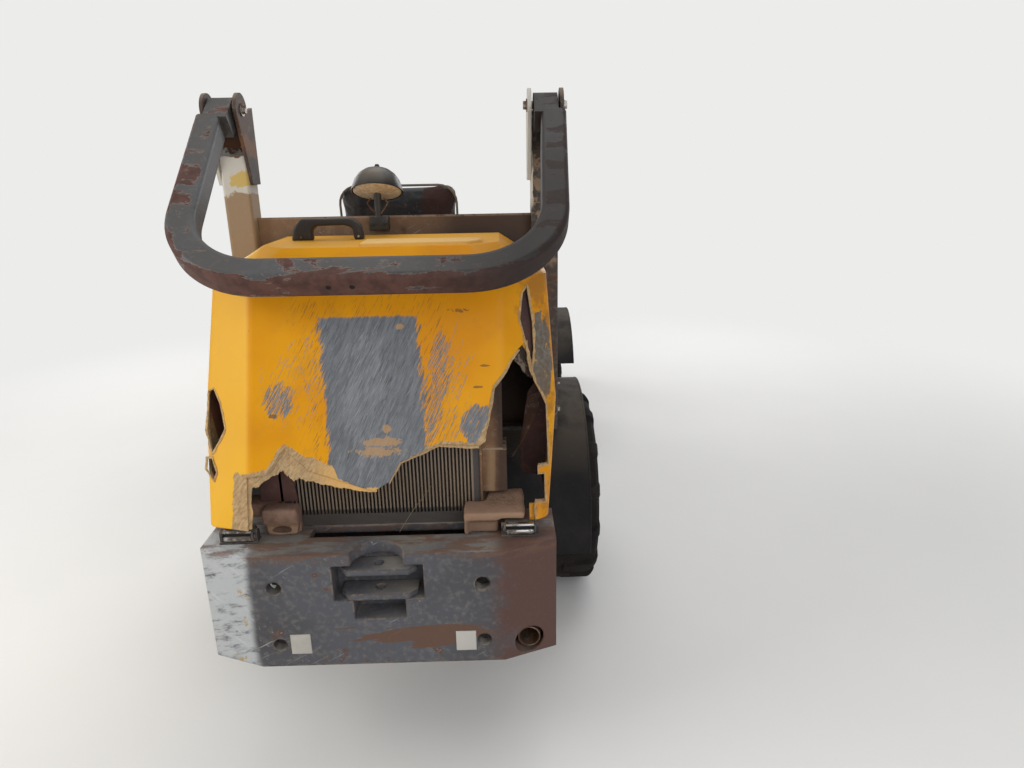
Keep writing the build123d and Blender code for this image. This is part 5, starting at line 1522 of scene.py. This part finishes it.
def makeRams():
    for name, foot, slide, x, node, body, pipeSide in rams:
        start = Vector((x, *jointPlace[foot].yz))
        along = jointAxis[slide].normalized()
        low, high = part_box(node)
        # the gland's end, from the box of the barrel along its lean
        way = 1 if along.z > 0 else -1
        end = ((high.z if way > 0 else low.z) - start.z - way * ramLook["barrel"] * abs(along.y)) / along.z
        up = Vector((1, 0, 0)).cross(along)
        up = (up if up.y > 0 else -up) * pipeSide
        rings = bmesh.new()
        for reach in (end - ramLook["upperCollar"], ramLook["lowerCollar"]):
            addSpun(rings, ramLook["collar"], start + along * reach, along, 40, closed=True)
        addSpun(rings, ramLook["gland"], start + along * (end - 0.001), along, 36, closed=True)
        pipes = bmesh.new()
        for reach in (end - ramLook["upperPort"], ramLook["lowerPort"]):
            spot = start + along * reach + up * 0.0325
            addRod(pipes, spot, spot + up * 0.01, 0.0098, 6, bevel=0.0008)
            addRod(pipes, spot + up * 0.01, spot + up * 0.014, 0.007, 16)
        top = start + along * (end - ramLook["upperPort"]) + up * ramLook["pipeAway"]
        bottom = start + along * ramLook["pipeEnd"] + up * ramLook["pipeAway"]
        bend = top.lerp(bottom, 0.06) + up * 0.001
        path = [top - up * 0.004, top + up * 0.001 - along * 0.003, bend, top.lerp(bottom, 0.5), bottom]
        addTube(pipes, path, ramLook["pipeRadius"])
        addPiece("rings_" + name, rings, "hinge_steel", body)
        addPiece("pipes_" + name, pipes, "boltZinc", body)
    print("bucket, pins and cylinders made")


makeBucketDetails()
makePins()
makeRams()

# The driver's place: mats, pedals, dials, wheel cap, lever boot, seat bars, louvres and bolts

driver = {
    "bulkheadBolts": (0.74, 0.9, 1.06, 1.22, 1.33), "postBolts": (0.74, 0.83),
    "pedalX": 0.205, "pedalTurn": math.radians(-38), "dialHeight": 0.868,
    "dials": [(-0.062, 0.031), (0.036, 0.012), (0.066, 0.012), (0.096, 0.012)],      # x and radius
    "matX": 0.266, "matHalf": 0.116, "matFrom": -0.512, "matTo": -0.262,
    "wheelLean": math.radians(28),
    "cap": [(0.0, 0.012), (0.014, 0.011), (0.024, 0.007), (0.029, 0.0), (0.0, 0.0)],
    "seatBar": [(-0.974, 0.851), (-0.973, 0.92), (-0.968, 0.98), (-0.964, 1.05), (-0.974, 1.12),
                (-0.981, 1.17)],
}


def makeControls():
    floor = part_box("floor_plate")[1].z
    mats, stems = bmesh.new(), bmesh.new()
    for side in sides:
        x = side * driver["matX"]
        addBlock(mats, (x - driver["matHalf"], driver["matFrom"], floor - 0.0004),
                 (x + driver["matHalf"], driver["matTo"], floor + 0.0045), 0.0015)
    for side in sides:
        x = side * driver["pedalX"]
        made = addBlock(mats, (x - 0.032, -0.222, floor + 0.05), (x + 0.032, -0.213, floor + 0.128), 0.003)
        turn = Matrix.Rotation(driver["pedalTurn"], 3, "X")
        bmesh.ops.rotate(mats, cent=(x, -0.218, floor + 0.088), matrix=turn, verts=made)
        addTube(stems, [(x, -0.168, floor - 0.001), (x, -0.172, floor + 0.045), (x, -0.198, floor + 0.078),
                        (x, -0.212, floor + 0.088)], 0.0065)
        addBlock(stems, (x - 0.02, -0.186, floor - 0.0004), (x + 0.02, -0.15, floor + 0.006), 0.0015)
    addPiece("mats", mats, "ribbedMat")
    addPiece("pedalStems", stems, "hinge_steel")
    # dials on the cowl's rear face, without markings
    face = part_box("dash_cowl")[0].y + 0.0065
    rims, dials = bmesh.new(), bmesh.new()
    for x, radius in driver["dials"]:
        centre = Vector((x, face, driver["dialHeight"]))
        inner = radius - 0.004
        section = [(inner, 0.0), (radius, 0.0), (radius, 0.007), (radius - 0.0015, 0.009), (inner, 0.009)]
        addSpun(rims, section, centre, (0, -1, 0), 32, closed=True)
        addRod(dials, centre, centre + Vector((0, -0.006, 0)), radius - 0.0035, 28)
    addRod(rims, (0.066, face, 0.8), (0.066, face - 0.012, 0.8), 0.014, bevel=0.0015)
    addBlock(rims, (0.064, face - 0.032, 0.79), (0.068, face - 0.012, 0.812), 0.001)
    addPiece("dialRims", rims, "grip_plastic")
    addPiece("dialFaces", dials, "blankPlate")
    # cap of the steering wheel
    axis = Vector((0, -math.sin(driver["wheelLean"]), math.cos(driver["wheelLean"])))
    shape = bmesh.new()
    addSpun(shape, driver["cap"], middleOf("steering_wheel") + axis * 0.012, axis, 32)
    addPiece("wheelCap", shape, "grip_plastic", sharp=50)
    # folded boot round the lever
    centre = middleOf("control_lever")
    centre.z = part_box("control_lever")[0].z - 0.0005
    profile = [(0.034, 0.0), (0.035, 0.005)]
    for index in range(4):
        profile += [(0.027 - index * 0.0042, 0.01 + index * 0.01),
                    (0.03 - index * 0.0044, 0.015 + index * 0.01)]
    shape = bmesh.new()
    addSpun(shape, profile + [(0.0105, 0.053), (0.0085, 0.053), (0.0085, 0.0)], centre, (0, 0, 1), 32,
            closed=True)
    addPiece("leverBoot", shape, "tyre_rubber", sharp=50)


def makeSeatMounts():
    # steel bars carry the seat's back
    shape = bmesh.new()
    for x in (-0.1, 0.1):
        addTube(shape, [(x, y, z) for y, z in driver["seatBar"]], 0.0095, 16)
        addBlock(shape, (x - 0.024, -0.996, 0.8495), (x + 0.024, -0.958, 0.8555), 0.0015)
    addBlock(shape, (-0.12, -0.976, 1.062), (0.12, -0.965, 1.104), 0.002)
    addPiece("seatBars", shape, "hinge_steel")
    # louvres and bolts of the seat box, bolts of the bulkhead and posts
    low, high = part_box("seat_box")
    louvres, bolts = bmesh.new(), bmesh.new()
    heights = (low.z + 0.035, high.z - 0.035)
    for side in sides:
        x = side * (high.x + 0.0025)
        for index in range(6):
            z = 0.61 + index * 0.028
            addBlock(louvres, (x - 0.0035, -0.9, z), (x + 0.0035, -0.7, z + 0.012), 0.0028, 3)
        for z in heights:
            addBolt(bolts, (side * 0.22, high.y, z), (0, 1, 0), 0.01)
            for y in (low.y + 0.03, high.y - 0.03):
                addBolt(bolts, (side * high.x, y, z), (side, 0, 0), 0.01)
        for z in driver["bulkheadBolts"]:
            addBolt(bolts, (side * 0.376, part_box("bulkhead")[1].y, z), (0, 1, 0), 0.011)
        for z in driver["postBolts"]:
            addBolt(bolts, (side * 0.48, -1.09, z), (side, 0, 0), 0.018)
    addPiece("boxLouvres", louvres, "stationPaint")
    addPiece("stationBolts", bolts, "boltZinc")
    print("driver's place made")


makeControls()
makeSeatMounts()

# Fender beads, hub caps, valves and the pin of the articulation

# body, rim at the arc's centre, node, from and to angle
fenderArcs = [("rear_frame", "rim_rear_left", "rear_fenders", 190, 62),
              ("front_frame", "rim_front_left", "front_fenders", 155, 45)]


def makeFenderBeads():
    for body, rim, node, first, last in fenderArcs:
        middle, high = middleOf(rim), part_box(node)[1]
        radius = high.z - middle.z - 0.003
        shape = bmesh.new()
        for side in sides:
            turns = [math.radians(first + (last - first) * step / 36) for step in range(37)]
            arc = [middle.yz + Vector(onCircle(radius, turn)) for turn in turns]
            addTube(shape, [(side * (high.x - 0.001), *spot) for spot in arc], 0.0042, 10)
        addPiece("fenderBeads_" + body, shape, "fender_plastic", body)


hubCap = [(0.0, 0.0085), (0.018, 0.0075), (0.031, 0.0045), (0.036, 0.0), (0.0, 0.0)]
valve = {"circle": 0.158, "turn": math.radians(75), "disc": 0.066}


def makeHubCaps():
    for corner in corners:
        side = sideOf(corner)
        low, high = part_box("rim_" + corner)
        centre = middleOf("rim_" + corner)
        centre.x = (high.x if side > 0 else low.x) - side * 0.001
        shape = bmesh.new()
        addSpun(shape, hubCap, centre, (side, 0, 0), 32)
        spot = centre + Vector((0, *onCircle(valve["circle"], valve["turn"])))
        spot.x = middleOf("tyre_" + corner).x + side * valve["disc"]
        out = Vector((side, 0, 0))
        addRod(shape, spot, spot + out * 0.03, 0.0042, 12, 0.0036)
        addRod(shape, spot + out * 0.024, spot + out * 0.036, 0.0056, 12)
        addPiece("hubCap_" + corner, shape, "hinge_steel", "wheel_" + corner, 45)


def makeFramePin():
    y, top = jointPlace["articulation"].y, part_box("rear_chassis")[1].z - 0.001
    shape = bmesh.new()
    addRod(shape, (0, y, top), (0, y, top + 0.009), 0.04, 36, bevel=0.002)
    for index in range(4):
        across, along = onCircle(0.062, math.radians(45 + 90 * index))
        addBolt(shape, (across, y + along, top), (0, 0, 1), 0.012)
    addPiece("framePin", shape, "boltZinc")
    print("fender beads, caps and frame pin made")


makeFenderBeads()
makeHubCaps()
makeFramePin()

# Floor

floorLook = {"near": (0.8, 0.795, 0.78), "far": (0.84, 0.835, 0.82), "fadeFrom": 2.0, "fadeTo": 4.6}


def makeFloor():
    shape = bmesh.new()
    bmesh.ops.create_grid(shape, x_segments=1, y_segments=1, size=60.0)
    data = bpy.data.meshes.new("floor")
    shape.to_mesh(data)
    shape.free()
    openMaterial("paleFloor")
    kit.colour = mixColour(noise(2.0, 4, 0.6), floorLook["near"], floorLook["far"])
    data.materials.append(closeMaterial(0.85, noise(90, 3, 0.6), 0.0004))
    # further out the floor takes the colour of the background, and only for what looks at it
    away = vectorMaths("LENGTH", kit.place, out="Value")
    share = cameraRay() * fade(away, floorLook["fadeFrom"], floorLook["fadeTo"])
    glow = output("Emission", {"Color": surround["seen"], "Strength": 1.0})
    seen = output("MixShader", {0: share, 1: shaderValue(kit.shader.outputs[0]), 2: glow})
    setInput(kit.surface.inputs["Surface"], seen)
    floor = bpy.data.objects.new("floor", data)
    bpy.context.scene.collection.objects.link(floor)


makeFloor()
